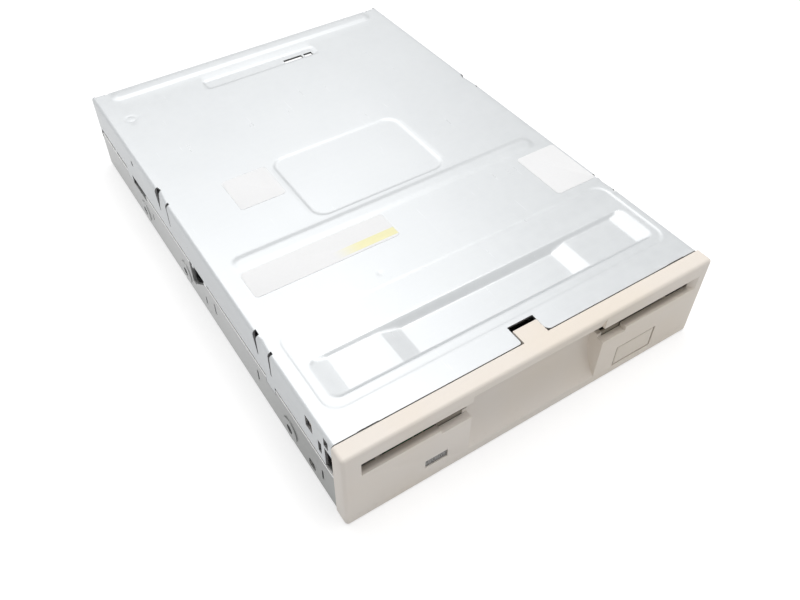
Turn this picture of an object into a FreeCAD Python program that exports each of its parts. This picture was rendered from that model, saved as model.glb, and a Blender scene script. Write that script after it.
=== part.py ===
"""A half-height 3.5-inch floppy disk drive as an assembly of separate parts, in millimetres.

The drive is drawn from its bezel's back face: x runs to the right, y to the back and z up.
When a part is written, it is moved so that the origin is the middle of the drive's footprint.
At rest the drive holds no disk: the button is in, the carrier up and the slot's flap shut.
"""
import FreeCAD, Part
import math
import os

from FreeCAD import Rotation, Vector

# Standard outside sizes of the drive
WIDTH = 101.6
HEIGHT = 25.4
BODY_DEPTH = 145.0
BEZEL_DEPTH = 4.15

# Gaps between pieces
SEAT = 0.1
CLEAR = 0.3
FIT = 0.05
ROLLER_PLAY = 0.12

# How far the pieces of one solid run into each other, and a cut runs past what it cuts
WELD = 0.2
PAST = 1.0

# Sheet and wall thicknesses
FRAME_SHEET = 1.0
COVER_SHEET = 0.6
SLIDE_SHEET = 0.8
CARRIER_SHEET = 0.7
BEZEL_WALL = 1.6
BEZEL_RIM = 1.5
BEZEL_WEB = 1.2
BEZEL_EDGE = 0.9
BEZEL_OVERHANG = 0.3

# Widths, from the outside in
SIDE_GAP = 1.2
METAL_X = WIDTH / 2 - BEZEL_OVERHANG
WALL_IN_X = METAL_X - FRAME_SHEET
SLIDE_X = WALL_IN_X - SIDE_GAP
CARRIER_X = SLIDE_X - SLIDE_SHEET - SIDE_GAP
BAY_X = CARRIER_X - CARRIER_SHEET
LEDGE_WIDTH = 8.5
RISER_X = METAL_X - LEDGE_WIDTH + FRAME_SHEET
RISER_IN_X = RISER_X - FRAME_SHEET

# Disk slot and the disk that fits it
SLOT_LINTEL = 4.2
SLOT_HEIGHT = 4.2
SLOT_SIDE = 4.0
DISK_THICK = 3.3
SLOT_TOP = HEIGHT - SLOT_LINTEL
SLOT_BOTTOM = SLOT_TOP - SLOT_HEIGHT
SLOT_X = METAL_X - SLOT_SIDE

# Frame heights and the raised deck
COVER_HEIGHT = 12.2
WALL_TOP = HEIGHT - COVER_HEIGHT
SEAM_GAP = 0.8
DECK_TOP = 7.0
DECK_BOTTOM = DECK_TOP - FRAME_SHEET
DECK_FRONT = 4.0
DECK_REAR = BODY_DEPTH - 12.0
BEND_RADIUS = 1.0
REAR_WALL_SILL = 2.0

# Mounting holes of the drive standard
MOUNT_HOLE_R = 1.25
SIDE_HOLE_Z = 5.0
SIDE_HOLES_Y = (21.0, 81.0, 111.0)
SIDE_BOSS_R = 3.3
SIDE_BOSS_RISE = 0.25
COLLAR_WALL = 0.9
COLLAR_LENGTH = 1.2
BOTTOM_HOLE_INSET = 3.175
BOTTOM_HOLES_X = WIDTH / 2 - BOTTOM_HOLE_INSET
BOTTOM_HOLES_Y = (31.0, 101.0)

# Side seam: the cover's tabs as (from, to, bottom), and the frame's openings
SEAM_TABS = ((26.8, 31.2, WALL_TOP - 1.8), (64.3, 65.9, WALL_TOP + SEAT),
             (BODY_DEPTH - 27.7, BODY_DEPTH - 23.6, WALL_TOP - 2.0),
             (BODY_DEPTH - 14.7, BODY_DEPTH - 13.2, WALL_TOP + SEAT))
SEAM_TAB_GAP = 0.2
SIDE_VENT_FRONT = BODY_DEPTH - 38.0
SIDE_VENT_LENGTH = 11.0
SIDE_VENT_DROP = 2.2
SIDE_SLIT = 0.7
SIDE_SLITS = ((5.8, 5.0, 8.4), (36.5, 6.0, 9.6), (61.0, 6.2, 10.0), (67.2, 4.6, 7.2),
              (BODY_DEPTH - 41.0, 6.4, 8.8))

# Cover pressing
BEAD_RISE = 0.4
COVER_TOP = HEIGHT - BEAD_RISE
COVER_UNDER = COVER_TOP - COVER_SHEET
COVER_FRONT = 0.5
COVER_BEND_R = 1.0
BEAD_X = METAL_X - 5.0
BEAD_HALF_WIDTH = 2.8
MIDDLE_BEAD_Y = 55.6
REAR_BEAD_Y = BODY_DEPTH - 3.7
PAN_DEPTH = 0.3
PAN_LEFT = -METAL_X + 3.5
PAN_RIGHT = METAL_X - 2.3
PAN_FRONT = 7.0
PAN_REAR = 31.5
PAN_CORNER = 4.0
FRAME_PANEL_X = 20.0
FRAME_PANEL_FRONT = 59.8
FRAME_PANEL_REAR = 87.3
REAR_PANEL_FRONT = BODY_DEPTH - 15.5
REAR_PANEL_DEPTH = 5.2
REAR_PANEL_CORNER = 1.2

# Trough in the cover's front pan, with a deeper middle
TROUGH_LEFT = -METAL_X + 5.7
TROUGH_RIGHT = METAL_X - 4.2
TROUGH_FRONT = 9.7
TROUGH_REAR = 21.5
TROUGH_DEPTH = 0.9
TROUGH_STEP = 0.8
TROUGH_MIDDLE = 21.8
TROUGH_RAMP = 4.8
TROUGH_FRONT_SLOPE = 1.5
TROUGH_REAR_SLOPE = 2.1
TROUGH_CORNER = 3.0

# Openings in the cover
JOG_DEPTH = 0.3
JOG_WIDTH = 5.0
LEFT_JOG = -METAL_X + 6.0
RIGHT_JOG = METAL_X - 9.5
REAR_SLOT_LEFT = 7.8
REAR_SLOT_RIGHT = 17.8
REAR_SLOT_BAR = (14.2, 15.0)
REAR_SLOT_WIDTH = 1.8
REAR_NOTCH_INSET = 4.5
REAR_NOTCH_WIDTH = 1.2
LANCE_SPOTS = (27.0, 85.5)
LANCE_SLIT = 0.9
LANCE_LENGTH = 6.6
LANCE_GAP = 1.8
LANCE_REACH = 1.1
LANCE_DROP = 4.6
SKIRT_CUTS = ((5.0, 6.4, 9.0, 5.2), (1.9, 3.7, 3.7, 1.0),
              (BODY_DEPTH - 32.6, BODY_DEPTH - 31.4, 5.0, 3.4))

# Snap arms of the bezel and the windows that they catch in
SNAP_THICK = 1.2
SNAP_BARB = 2.2
SNAP_PLAY = 0.35
UPPER_SNAP = (HEIGHT - 6.4, HEIGHT - 3.5, 11.2)
LOWER_SNAP = (2.8, 4.8, 12.0)

# Bezel features
SCOOP_LEFT = -19.0
SCOOP_RIGHT = 18.4
SCOOP_BOTTOM = 3.3
SCOOP_TOP = SLOT_BOTTOM - 3.5
NOTCH_LEFT = -27.0
NOTCH_RIGHT = 25.4
NOTCH_DROP = 1.2
SLOT_LIP = 0.3
SLOT_LIP_DEPTH = 2.4
BUTTON_WIDTH = 12.0
BUTTON_X = WIDTH / 2 - 20.1
BUTTON_BOTTOM = 3.3
BUTTON_HEIGHT = 6.5
BUTTON_INSET = 0.05
LENS_WIDTH = 5.7
LENS_X = -WIDTH / 2 + 23.05
LENS_BOTTOM = 5.6
LENS_HEIGHT = 2.5
LENS_INSET = 0.3
TONGUE_LEFT = -3.0
TONGUE_RIGHT = 4.2
TONGUE_REACH = 4.0
TONGUE_THICK = 1.4
TONGUE_NOTCH = 5.7
BEZEL_RIB = 1.0
BEZEL_RIBS_X = (-WIDTH / 2 + 9.8, -22.0, WIDTH / 2 - 9.8)

# Slot flap
FLAP_Y = 0.4
FLAP_ROD_R = 0.6
FLAP_BARREL_R = 1.05
FLAP_Z = SLOT_TOP + FLAP_BARREL_R
FLAP_SHEET = 0.7
FLAP_X = SLOT_X - 0.2
FLAP_SPRING_X = -FLAP_X + 6.0
FLAP_SPRING_LENGTH = 2.8
FLAP_RIBS_X = (-15.0, 15.0)
EAR_WIDTH = 1.3

# Eject mechanism
EJECT_TRAVEL = 5.5
CARRIER_DROP = 2.4
ROLLER_R = 1.0
ROLLER_STEM_R = 0.8
ROLLER_COLLAR_R = 1.7
ROLLER_BELOW_FLOOR = 4.55
FRONT_ROLLER_Y = 29.0
REAR_ROLLER_Y = 74.8
STUD_R = 1.5
STUD_HEAD_R = 2.5
STUD_HEAD = 0.8
STUD_X = SLIDE_X - 7.7
STUDS_Y = (31.0, 64.0)
BAR_FRONT = 7.2
BAR_WIDTH = 6.2
PEG_R = 1.6
PEG_Y = BAR_FRONT + BAR_WIDTH / 2
GUSSET = 6.0
SPRING_X = (RISER_X + WALL_IN_X) / 2
SPRING_Z = 4.4
SPRING_FRONT = 36.0
SPRING_REAR = 62.0
SPRING_R = 1.8
SPRING_WIRE = 0.6
SPRING_LEAD = 2.6

# Carrier
CARRIER_FRONT = 6.0
CARRIER_REAR = 96.0
CARRIER_LIP = 6.0
CARRIER_FLOOR = SLOT_BOTTOM - FIT
CARRIER_ROOF = SLOT_TOP + FIT
CARRIER_TOP = CARRIER_ROOF + CARRIER_SHEET
ROLLER_Z = CARRIER_FLOOR - ROLLER_BELOW_FLOOR
HEAD_WINDOW_X = 13.0
HEAD_WINDOW_FRONT = 62.0
WINDOW_CORNER = 2.5
THUMB_X = 16.0
THUMB_DEPTH = 5.0
STOP_WIDTH = 4.0
STOPS_X = (-BAY_X + 15.6, BAY_X - 11.4)
FINGER_X = BAY_X - 15.6
FINGER_FRONT = 30.0
FINGER_LENGTH = 18.0
FINGER_WIDTH = 8.0
FINGER_SLIT = 0.8
GUIDE_SLOT_X = -BAY_X + 7.6
GUIDE_SLOT_Y = (56.0, 74.0)
GUIDE_SLOT_R = 1.6
LIP_GAP_Y = (40.0, 62.0)

# Shutter lever
LEVER_X = BAY_X - 5.6
LEVER_Y = 88.0
LEVER_REACH = LEVER_X - HEAD_WINDOW_X - 3.0
LEVER_REST_ANGLE = 228.0
LEVER_SWING = 56.0
LEVER_SHEET = 0.8
LEVER_ARM_R = 2.2
LEVER_HUB_R = 4.0
LEVER_PIN_R = 1.2
LEVER_TAIL = 6.2
LEVER_TAIL_R = 1.5
RIVET_HEAD_R = 2.4
RIVET_HEAD = 0.6
LEVER_SPRING_R = 0.8
LEVER_SPRING_WIRE = 0.4
LEVER_SPRING_LENGTH = 5.8
LEVER_SPRING_LEAD = 1.4

# Where the disk comes to rest
POST_TOP = SLOT_BOTTOM + FIT - CARRIER_DROP
MEDIA_Z = POST_TOP + DISK_THICK / 2
POST_R = 1.8
POST_STUB_R = 1.1
POST_TIP = 1.6
POST_X = BAY_X - 9.6
POSTS_Y = (40.0, 70.0)
UNDER_DISK = POST_TOP - 0.45

# Disk motor
SPINDLE_Y = 48.0
SHAFT_R = 1.5
SHAFT_TIP = SLOT_BOTTOM - SEAT
ROTOR_R = 23.0
ROTOR_TOP = DECK_TOP + 2.6
ROTOR_SHEET = 0.8
ROTOR_BOTTOM = 5.0
ROTOR_EDGE = 0.7
ROTOR_HOLES = 6
ROTOR_HOLE_R = 2.2
ROTOR_GAP = 1.0
HUB_R = 12.5
HUB_NECK_R = 4.0
HUB_EDGE = 0.8
HUB_MAGNET_OUT = 9.2
HUB_MAGNET_IN = 5.3
HUB_MAGNET_SUNK = 0.6
HUB_MAGNET_RISE = 0.4
DRIVE_PIN_R = 0.9
DRIVE_PIN_DEPTH = 2.0
DRIVE_PIN_RISE = 1.8
MAGNET_THICK = 2.0
MAGNET_END_GAP = 0.2
AIR_GAP = 0.7
TEETH = 12
TOOTH_WIDTH = 2.2
SHOE_WIDTH = 7.2
SHOE_THICK = 1.6
COIL_THICK = 0.9
COIL_RISE = 0.5
CORE_BACK = 3.2
CORE_LIFT = 1.0
CORE_THICK = 1.6
BEARING_R = 5.0
BEARING_FLANGE = 3.5
BEARING_FLANGE_THICK = 0.75

# Boards
BOARD_THICK = 1.2
BOARD_TOP = DECK_BOTTOM - 1.4
BOARD_BOTTOM = BOARD_TOP - BOARD_THICK
BOARD_FRONT = 9.0
BOARD_SIDE_GAP = 5.0
MAIN_BOARD_FRONT = BODY_DEPTH - 51.0
MOTOR_BOARD_REAR = MAIN_BOARD_FRONT - 10.0
BOARD_REAR = BODY_DEPTH - FRAME_SHEET - CLEAR
LED_ARM_FRONT = 2.3
BOSS_R = 2.4
BOSS_X = RISER_X - 9.0
BOSSES_Y = (BOARD_FRONT + 3.0, MOTOR_BOARD_REAR - 6.0, MAIN_BOARD_FRONT + 5.0, BODY_DEPTH - 18.0)
CHIP_THICK = 1.1
LINK_THICK = 0.25
LINK_X = 6.5
LINK_LAP = 4.0
SHIELD_SHEET = 0.5
SHIELD_BOTTOM = 0.3
SHIELD_VENTS = 7
SHIELD_VENT_PITCH = 9.0
SHIELD_VENT_WIDTH = 2.0
SHIELD_VENT_Y = (MAIN_BOARD_FRONT + 9.0, MAIN_BOARD_FRONT + 20.0)

# Head carriage and its drive
HEAD_Y = 87.6
HEAD_TRAVEL = 15.0
MEDIA_GAP = 0.2
LOWER_HEAD_TOP = MEDIA_Z - MEDIA_GAP / 2
HEAD_LENGTH = 4.0
HEAD_WIDTH = 3.0
HEAD_EDGE = 0.3
CARRIAGE_TOP = UNDER_DISK
CARRIAGE_BOTTOM = DECK_TOP + 1.8
CARRIAGE_REAR = BODY_DEPTH - 29.0
CARRIAGE_LENGTH = 14.0
CARRIAGE_FRONT = CARRIAGE_REAR - CARRIAGE_LENGTH
CARRIAGE_RIGHT = 11.0
NOSE_X = 4.6
NOSE_BACK_X = 7.5
NOSE_THICK = 3.6
POCKET_WALL = 3.0
POCKET_ROOF = 1.6
FLAG_X = 1.0
FLAG_THICK = 0.8
FLAG_REACH = 3.6
ROD_X = -17.0
ROD_Z = (CARRIAGE_BOTTOM + CARRIAGE_TOP) / 2
ROD_R = 1.5
ROD_BOSS_R = 2.9
ROD_BOSS_LEAD = 2.0
ROD_FRONT = CARRIAGE_FRONT - ROD_BOSS_LEAD - HEAD_TRAVEL - 4.5
ROD_REAR = CARRIAGE_REAR + 5.5
CLIP_THICK = 3.0
CLIP_X = 2.4
CLIP_FOOT_X = 3.0
CLIP_FOOT = 1.2
RAIL_X = 12.4
RAIL_Z = ROD_Z - 1.3
RAIL_PLAY = 0.15
FORK_LENGTH = 7.0
FORK_THICK = 1.0

# Upper head's arm
ARM_PIVOT_Y = CARRIAGE_REAR - 2.0
ARM_PIVOT_Z = MEDIA_Z + 2.3
ARM_PIVOT_R = 1.0
ARM_PIVOT_X = 9.0
ARM_SHEET = 0.8
ARM_BACK_X = 5.6
ARM_TIP_X = 3.0
HEAD_LIFT = 4.357
ARM_LIFT = math.degrees(math.asin(HEAD_LIFT / (ARM_PIVOT_Y - HEAD_Y)))
ARM_LIFT_Y = ARM_PIVOT_Y - CARRIER_DROP / math.sin(math.radians(ARM_LIFT))
KNUCKLE_R = 1.9
KNUCKLE_X = (2.6, 6.4)
PIVOT_EAR_X = (6.6, 8.8)
WING_X = HEAD_WINDOW_X + 2.8
WING_WIDTH = 1.4
WING_FOOT = 0.4
WING_GAP = 0.25
TONGUE_X = HEAD_WINDOW_X + 5.0
TONGUE_PAST_WING = 2.4
TONGUE_ROOT = CARRIER_REAR - 20.0
ARM_SPRING_LENGTH = 4.0
ARM_SPRING_WIRE = 0.5
FLAP_SPRING_WIRE = 0.4

# Stepper motor and its lead screw
SCREW_X = 22.0
LEAD_SCREW_R = 1.5
SCREW_TAIL_R = 0.9
MOTOR_R = 7.4
MOTOR_LENGTH = 14.0
MOTOR_FRONT = DECK_REAR - 0.5 - MOTOR_LENGTH
MOTOR_EDGE = 0.6
MOTOR_NOSE_R = 3.0
MOTOR_NOSE = 1.6
MOTOR_SPACE = 0.5
SCREW_Z = BOARD_TOP + 0.4 + MOTOR_R
NEEDLE_R = 0.4
NEEDLE_ARM = 3.0
BRACKET_SHEET = 0.8
BRACKET_FRONT = CARRIAGE_FRONT - HEAD_TRAVEL - 1.5

# Rear connectors
PIN_PITCH = 2.54
PIN_SIDE = 0.64
DATA_PINS = 17
DATA_X = -11.0
DATA_END = 2.2
DATA_WALL = 0.3
KEY_WIDTH = 4.4
CONNECTOR_DEPTH = 4.0
PIN_REACH = 6.3
CONNECTOR_REAR = BODY_DEPTH - SEAT - PIN_REACH
CONNECTOR_FRONT = CONNECTOR_REAR - CONNECTOR_DEPTH
POWER_PINS = 4
POWER_PITCH = 2.5
POWER_X = RISER_X - 13.0
POWER_HALF = 6.4
POWER_HEIGHT = 4.6
POWER_EAR = 0.8
POWER_EAR_HEIGHT = 3.2

# Disk switches
SWITCH_X = BAY_X - 12.1
SWITCH_SPOTS = {"write_plunger": (-1, 19.0), "disk_plunger": (-1, 27.0), "density_plunger": (1, 19.0)}
SWITCH_TOP = POST_TOP - 1.45
SWITCH_HALF_X = 3.2
SWITCH_HALF_Y = 2.8
PLUNGER_WIDTH = 2.2
PLUNGER_RISE = 2.2
PLUNGER_HOLE_DEPTH = 2.9
PLUNGER_STROKE = 1.4
PLUNGER_EDGE = 0.6

FRONT = -BEZEL_DEPTH
MIDDLE_Y = (BODY_DEPTH - BEZEL_DEPTH) / 2
X_AXIS = Vector(1, 0, 0)
Z_AXIS = Vector(0, 0, 1)


def box(x0, x1, y0, y1, z0, z1):
    """A block between two corners."""
    return Part.makeBox(x1 - x0, y1 - y0, z1 - z0, Vector(x0, y0, z0))


def cylinder(radius, start, end):
    """A round bar from one point to another."""
    start, end = Vector(*start), Vector(*end)
    along = end - start
    return Part.makeCylinder(radius, along.Length, start, along)


def bar(radius, start, end, sides=8):
    """A many-sided bar along an axis, for small round pieces and holes that repeat.

    Its flats stand on the radius, so a bar in a bar's hole keeps the gap between their radii.
    """
    start, end = Vector(*start), Vector(*end)
    along = end - start
    corner = Vector(along.y, along.z, along.x).normalize() * (radius / math.cos(math.pi / sides))
    points = [start + Rotation(along, 360.0 * (i + 0.5) / sides).multVec(corner) for i in range(sides)]
    return Part.Face(Part.makePolygon(points + points[:1])).extrude(along)


def ring(outer, inner, x, y, z0, z1):
    """A tube standing on z."""
    tube = cylinder(outer, (x, y, z0), (x, y, z1))
    return tube.cut(cylinder(inner, (x, y, z0 - PAST), (x, y, z1 + PAST)))


def prism(points, direction):
    """A flat outline of 3-D points, pushed along a vector."""
    corners = [Vector(*p) for p in points]
    return Part.Face(Part.makePolygon(corners + corners[:1])).extrude(Vector(*direction))


def prism_x(points, x0, x1):
    """A (y, z) outline pushed along x."""
    return prism([(x0, y, z) for y, z in points], (x1 - x0, 0, 0))


def prism_y(points, y0, y1):
    """An (x, z) outline pushed along y."""
    return prism([(x, y0, z) for x, z in points], (0, y1 - y0, 0))


def prism_z(points, z0, z1):
    """An (x, y) outline pushed up z."""
    return prism([(x, y, z0) for x, y in points], (0, 0, z1 - z0))


def upright_edges(block):
    """The edges of a block that run along z."""
    return [e for e in block.Edges if abs(e.tangentAt(e.FirstParameter).z) > 0.9]


def round_block(x0, x1, y0, y1, z0, z1, radius):
    """A block with its four upright edges rounded."""
    block = box(x0, x1, y0, y1, z0, z1)
    return block.makeFillet(radius, upright_edges(block))


def eased_block(x0, x1, y0, y1, z0, z1, edge):
    """A block with its four upright edges cut off."""
    block = box(x0, x1, y0, y1, z0, z1)
    return block.makeChamfer(edge, upright_edges(block))


def top_edges(shape, z):
    """The edges of a shape that lie at a height."""
    return [e for e in shape.Edges if abs(e.BoundBox.ZMin - z) < 0.01 and abs(e.BoundBox.ZMax - z) < 0.01]


def slot_z(start, end, radius, z0, z1):
    """A round-ended slot through z, between two (x, y) points."""
    (ax, ay), (bx, by) = start, end
    length = math.hypot(bx - ax, by - ay)
    ux, uy = (bx - ax) / length, (by - ay) / length
    side = [(ax - uy * radius, ay + ux * radius), (bx - uy * radius, by + ux * radius),
            (bx + uy * radius, by - ux * radius), (ax + uy * radius, ay - ux * radius)]
    ends = [cylinder(radius, (x, y, z0), (x, y, z1)) for x, y in (start, end)]
    return prism_z(side, z0, z1).multiFuse(ends)


def mirrored(shape):
    """The same shape on the drive's other side."""
    return shape.mirror(Vector(0, 0, 0), X_AXIS)


def both(shape):
    """A shape and its mirror image."""
    return [shape, mirrored(shape)]


def fuse(shapes):
    """One solid from several that meet."""
    shapes = list(shapes)
    return shapes[0].multiFuse(shapes[1:]).removeSplitter()


def cut(shape, tools):
    """A shape less several tools."""
    return shape.cut(Part.makeCompound(list(tools)))


def tension_spring(x, z, start, end, radius, wire, lead):
    """A close-wound spring along y as a plain sleeve, with a hook at each end.

    The hooks reach out from start and end by lead, and a bead ends each one.
    """
    body = bar(radius, (x, start, z), (x, end, z))
    body = body.cut(bar(radius - wire, (x, start + wire, z), (x, end - wire, z)))
    hooks = []
    for face, way in ((start, -1), (end, 1)):
        tip = face + way * lead
        hooks.append(bar(wire / 2, (x, face - way * wire / 2, z), (x, tip, z)))
        hooks.append(bar(wire, (x, tip - way * wire, z), (x, tip, z)))
    return fuse([body] + hooks)


def torsion_spring(x, y, z, radius, wire, length):
    """A spring round an axle along x as a plain sleeve: x is its left end."""
    sleeve = bar(radius + wire, (x, y, z), (x + length, y, z))
    return sleeve.cut(bar(radius, (x - PAST, y, z), (x + length + PAST, y, z)))


def save(name, shape):
    """Writes one part, moved to the drive's own origin."""
    shape = shape.copy()
    shape.translate(Vector(0, -MIDDLE_Y, 0))
    for solid in shape.Solids:
        if not solid.isValid():
            print("not valid:", name)
    shape.exportStep(os.path.join("parts", name + ".step"))


def pressed_down(sheet, dish):
    """Presses a dish into a sheet's top: its floor keeps the sheet's thickness."""
    below = dish.copy()
    below.translate(Vector(0, 0, -COVER_SHEET))
    return sheet.fuse(below).cut(dish)


def pressed_up(sheet, bead):
    """Presses a bead up out of a sheet."""
    hollow = bead.copy()
    hollow.translate(Vector(0, 0, -COVER_SHEET))
    return sheet.fuse(bead).cut(hollow)


def bead_shape(y):
    """The raised rib across the cover, round at its ends and sloped in its section."""
    foot = COVER_TOP - BEAD_RISE / 20
    block = round_block(-BEAD_X, BEAD_X, y - BEAD_HALF_WIDTH, y + BEAD_HALF_WIDTH, foot, HEIGHT,
                        BEAD_HALF_WIDTH * 0.9)
    crest = [(y - BEAD_HALF_WIDTH, foot), (y - BEAD_HALF_WIDTH / 2, HEIGHT),
             (y + BEAD_HALF_WIDTH / 2, HEIGHT), (y + BEAD_HALF_WIDTH, foot)]
    return block.common(prism_x(crest, -BEAD_X, BEAD_X))


def shallow_panel(x0, x1, y0, y1, radius):
    """A shallow sunk panel with sloped edges."""
    floor = COVER_TOP - PAN_DEPTH
    block = round_block(x0, x1, y0, y1, floor, COVER_TOP + PAN_DEPTH / 15, radius)
    return block.makeChamfer(PAN_DEPTH * 1.03, top_edges(block, floor))


def trough_shape():
    """The stepped trough across the cover's front: ramps at both ends and to a lower middle."""
    top = COVER_TOP - PAN_DEPTH
    over = top + COVER_SHEET / 2
    mid, low = top - TROUGH_DEPTH, top - TROUGH_DEPTH - TROUGH_STEP
    lengthwise = [(TROUGH_LEFT, over), (TROUGH_LEFT, top), (TROUGH_LEFT + TROUGH_RAMP, mid),
                  (-TROUGH_MIDDLE - TROUGH_RAMP, mid), (-TROUGH_MIDDLE, low), (TROUGH_MIDDLE, low),
                  (TROUGH_MIDDLE + TROUGH_RAMP, mid), (TROUGH_RIGHT - TROUGH_RAMP, mid),
                  (TROUGH_RIGHT, top), (TROUGH_RIGHT, over)]
    across = [(TROUGH_FRONT, over), (TROUGH_FRONT, top), (TROUGH_FRONT + TROUGH_FRONT_SLOPE, low),
              (TROUGH_REAR - TROUGH_REAR_SLOPE, low), (TROUGH_REAR, top), (TROUGH_REAR, over)]
    ramps = prism_y(lengthwise, TROUGH_FRONT - PAST, TROUGH_REAR + PAST)
    walls = prism_x(across, TROUGH_LEFT - PAST, TROUGH_RIGHT + PAST)
    plan = round_block(TROUGH_LEFT, TROUGH_RIGHT, TROUGH_FRONT, TROUGH_REAR, low - PAST, over,
                       TROUGH_CORNER)
    return ramps.common(walls).common(plan)


def cover_shell(x, front, rear, bottom, top, bend):
    """A block with its two long top edges bent round."""
    block = box(-x, x, front, rear, bottom, top)
    long_edges = [e for e in top_edges(block, top) if e.BoundBox.YLength > PAST]
    return block.makeFillet(bend, long_edges)


def build_cover():
    """The pressed top cover with its side and rear flanges."""
    seam = WALL_TOP + SEAM_GAP
    rear, sheet = BODY_DEPTH, COVER_SHEET
    outer = cover_shell(METAL_X, COVER_FRONT, rear, seam, COVER_TOP, COVER_BEND_R)
    inner = cover_shell(METAL_X - sheet, COVER_FRONT - PAST, rear - sheet, seam - PAST, COVER_UNDER,
                        COVER_BEND_R - sheet)
    cover = outer.cut(inner)
    cover = pressed_down(cover, shallow_panel(PAN_LEFT, PAN_RIGHT, PAN_FRONT, PAN_REAR, PAN_CORNER))
    cover = pressed_down(cover, trough_shape())
    cover = pressed_down(cover, shallow_panel(-FRAME_PANEL_X, FRAME_PANEL_X, FRAME_PANEL_FRONT,
                                              FRAME_PANEL_REAR, PAN_CORNER))
    cover = pressed_down(cover, shallow_panel(-FRAME_PANEL_X + 1, FRAME_PANEL_X - 0.5, REAR_PANEL_FRONT,
                                              REAR_PANEL_FRONT + REAR_PANEL_DEPTH, REAR_PANEL_CORNER))
    for y in (MIDDLE_BEAD_Y, REAR_BEAD_Y):
        cover = pressed_up(cover, bead_shape(y))

    under, over = COVER_UNDER - PAST, COVER_TOP + PAST
    slot_y = REAR_PANEL_FRONT + REAR_PANEL_CORNER / 2
    tools = [
        box(TONGUE_LEFT, TONGUE_RIGHT, COVER_FRONT - PAST, TONGUE_NOTCH, under, over),
        box(LEFT_JOG, LEFT_JOG + JOG_WIDTH, COVER_FRONT - PAST, COVER_FRONT + JOG_DEPTH, under, over),
        box(RIGHT_JOG, RIGHT_JOG + JOG_WIDTH, COVER_FRONT - PAST, COVER_FRONT + JOG_DEPTH, under, over),
        box(REAR_SLOT_LEFT, REAR_SLOT_BAR[0], slot_y, slot_y + REAR_SLOT_WIDTH, under, over),
        box(REAR_SLOT_BAR[1], REAR_SLOT_RIGHT, slot_y, slot_y + REAR_SLOT_WIDTH, under, over),
        box(-RISER_X + BOARD_SIDE_GAP, RISER_X - BOARD_SIDE_GAP, rear - PAST, rear + PAST, seam - PAST,
            seam + REAR_WALL_SILL),
    ]
    notch_x = METAL_X - REAR_NOTCH_INSET
    tools += both(box(notch_x - REAR_NOTCH_WIDTH / 2, notch_x + REAR_NOTCH_WIDTH / 2,
                      rear - sheet - REAR_NOTCH_WIDTH / 2, rear + PAST, (seam + COVER_TOP) / 2, over))
    out, in_x = METAL_X + PAST, METAL_X - LANCE_REACH
    for y in LANCE_SPOTS:
        # Lanced spring tab: a narrow slit in front of it and a wide one behind
        for y0, y1 in ((y, y + LANCE_SLIT), (y + LANCE_LENGTH, y + LANCE_LENGTH + LANCE_GAP)):
            tools += both(box(in_x, out, y0, y1, COVER_TOP - LANCE_DROP, over))
    for y0, y1, low, high in SKIRT_CUTS:
        tools += both(box(in_x, out, y0, y1, COVER_TOP - low, COVER_TOP - high))
    tools += both(box(in_x, out, COVER_FRONT - PAST, TONGUE_REACH - 0.4, seam - PAST,
                      COVER_TOP - LANCE_DROP))
    tools += both(snap_window(UPPER_SNAP, in_x, out, 0.0))
    cover = cut(cover, tools)

    # Tabs under the flange that close the seam and drop into the frame's notches
    tabs = []
    for y0, y1, bottom in SEAM_TABS:
        tabs += both(box(METAL_X - sheet, METAL_X, y0, y1, bottom, seam + WELD))
    return fuse([cover] + tabs)


def snap_window(snap, x0, x1, corner):
    """The window that one of the bezel's snap arms catches in."""
    bottom, top, reach = snap
    y0, y1 = reach - SNAP_BARB - SNAP_PLAY, reach + SNAP_PLAY
    z0, z1 = bottom - SNAP_PLAY, top + SNAP_PLAY
    outline = [(y0 + corner, z0), (y1 - corner, z0), (y1, z0 + corner), (y1, z1 - corner),
               (y1 - corner, z1), (y0 + corner, z1), (y0, z1 - corner), (y0, z0 + corner)]
    if corner == 0:
        outline = outline[::2]
    return prism_x(outline, x0, x1)


def spring_lug(y, sheet, z0, z1):
    """The part of a lug or tab that an eject spring hooks into, on the right side."""
    return box(SPRING_X - SPRING_R, SPRING_X + SPRING_R, y, y + sheet, z0, z1)


def spring_hole(y, sheet):
    """The hole in a lug or tab that a spring's hook passes through."""
    return bar(SPRING_WIRE / 2 + CLEAR, (SPRING_X, y - PAST, SPRING_Z),
               (SPRING_X, y + sheet + PAST, SPRING_Z))


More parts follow.
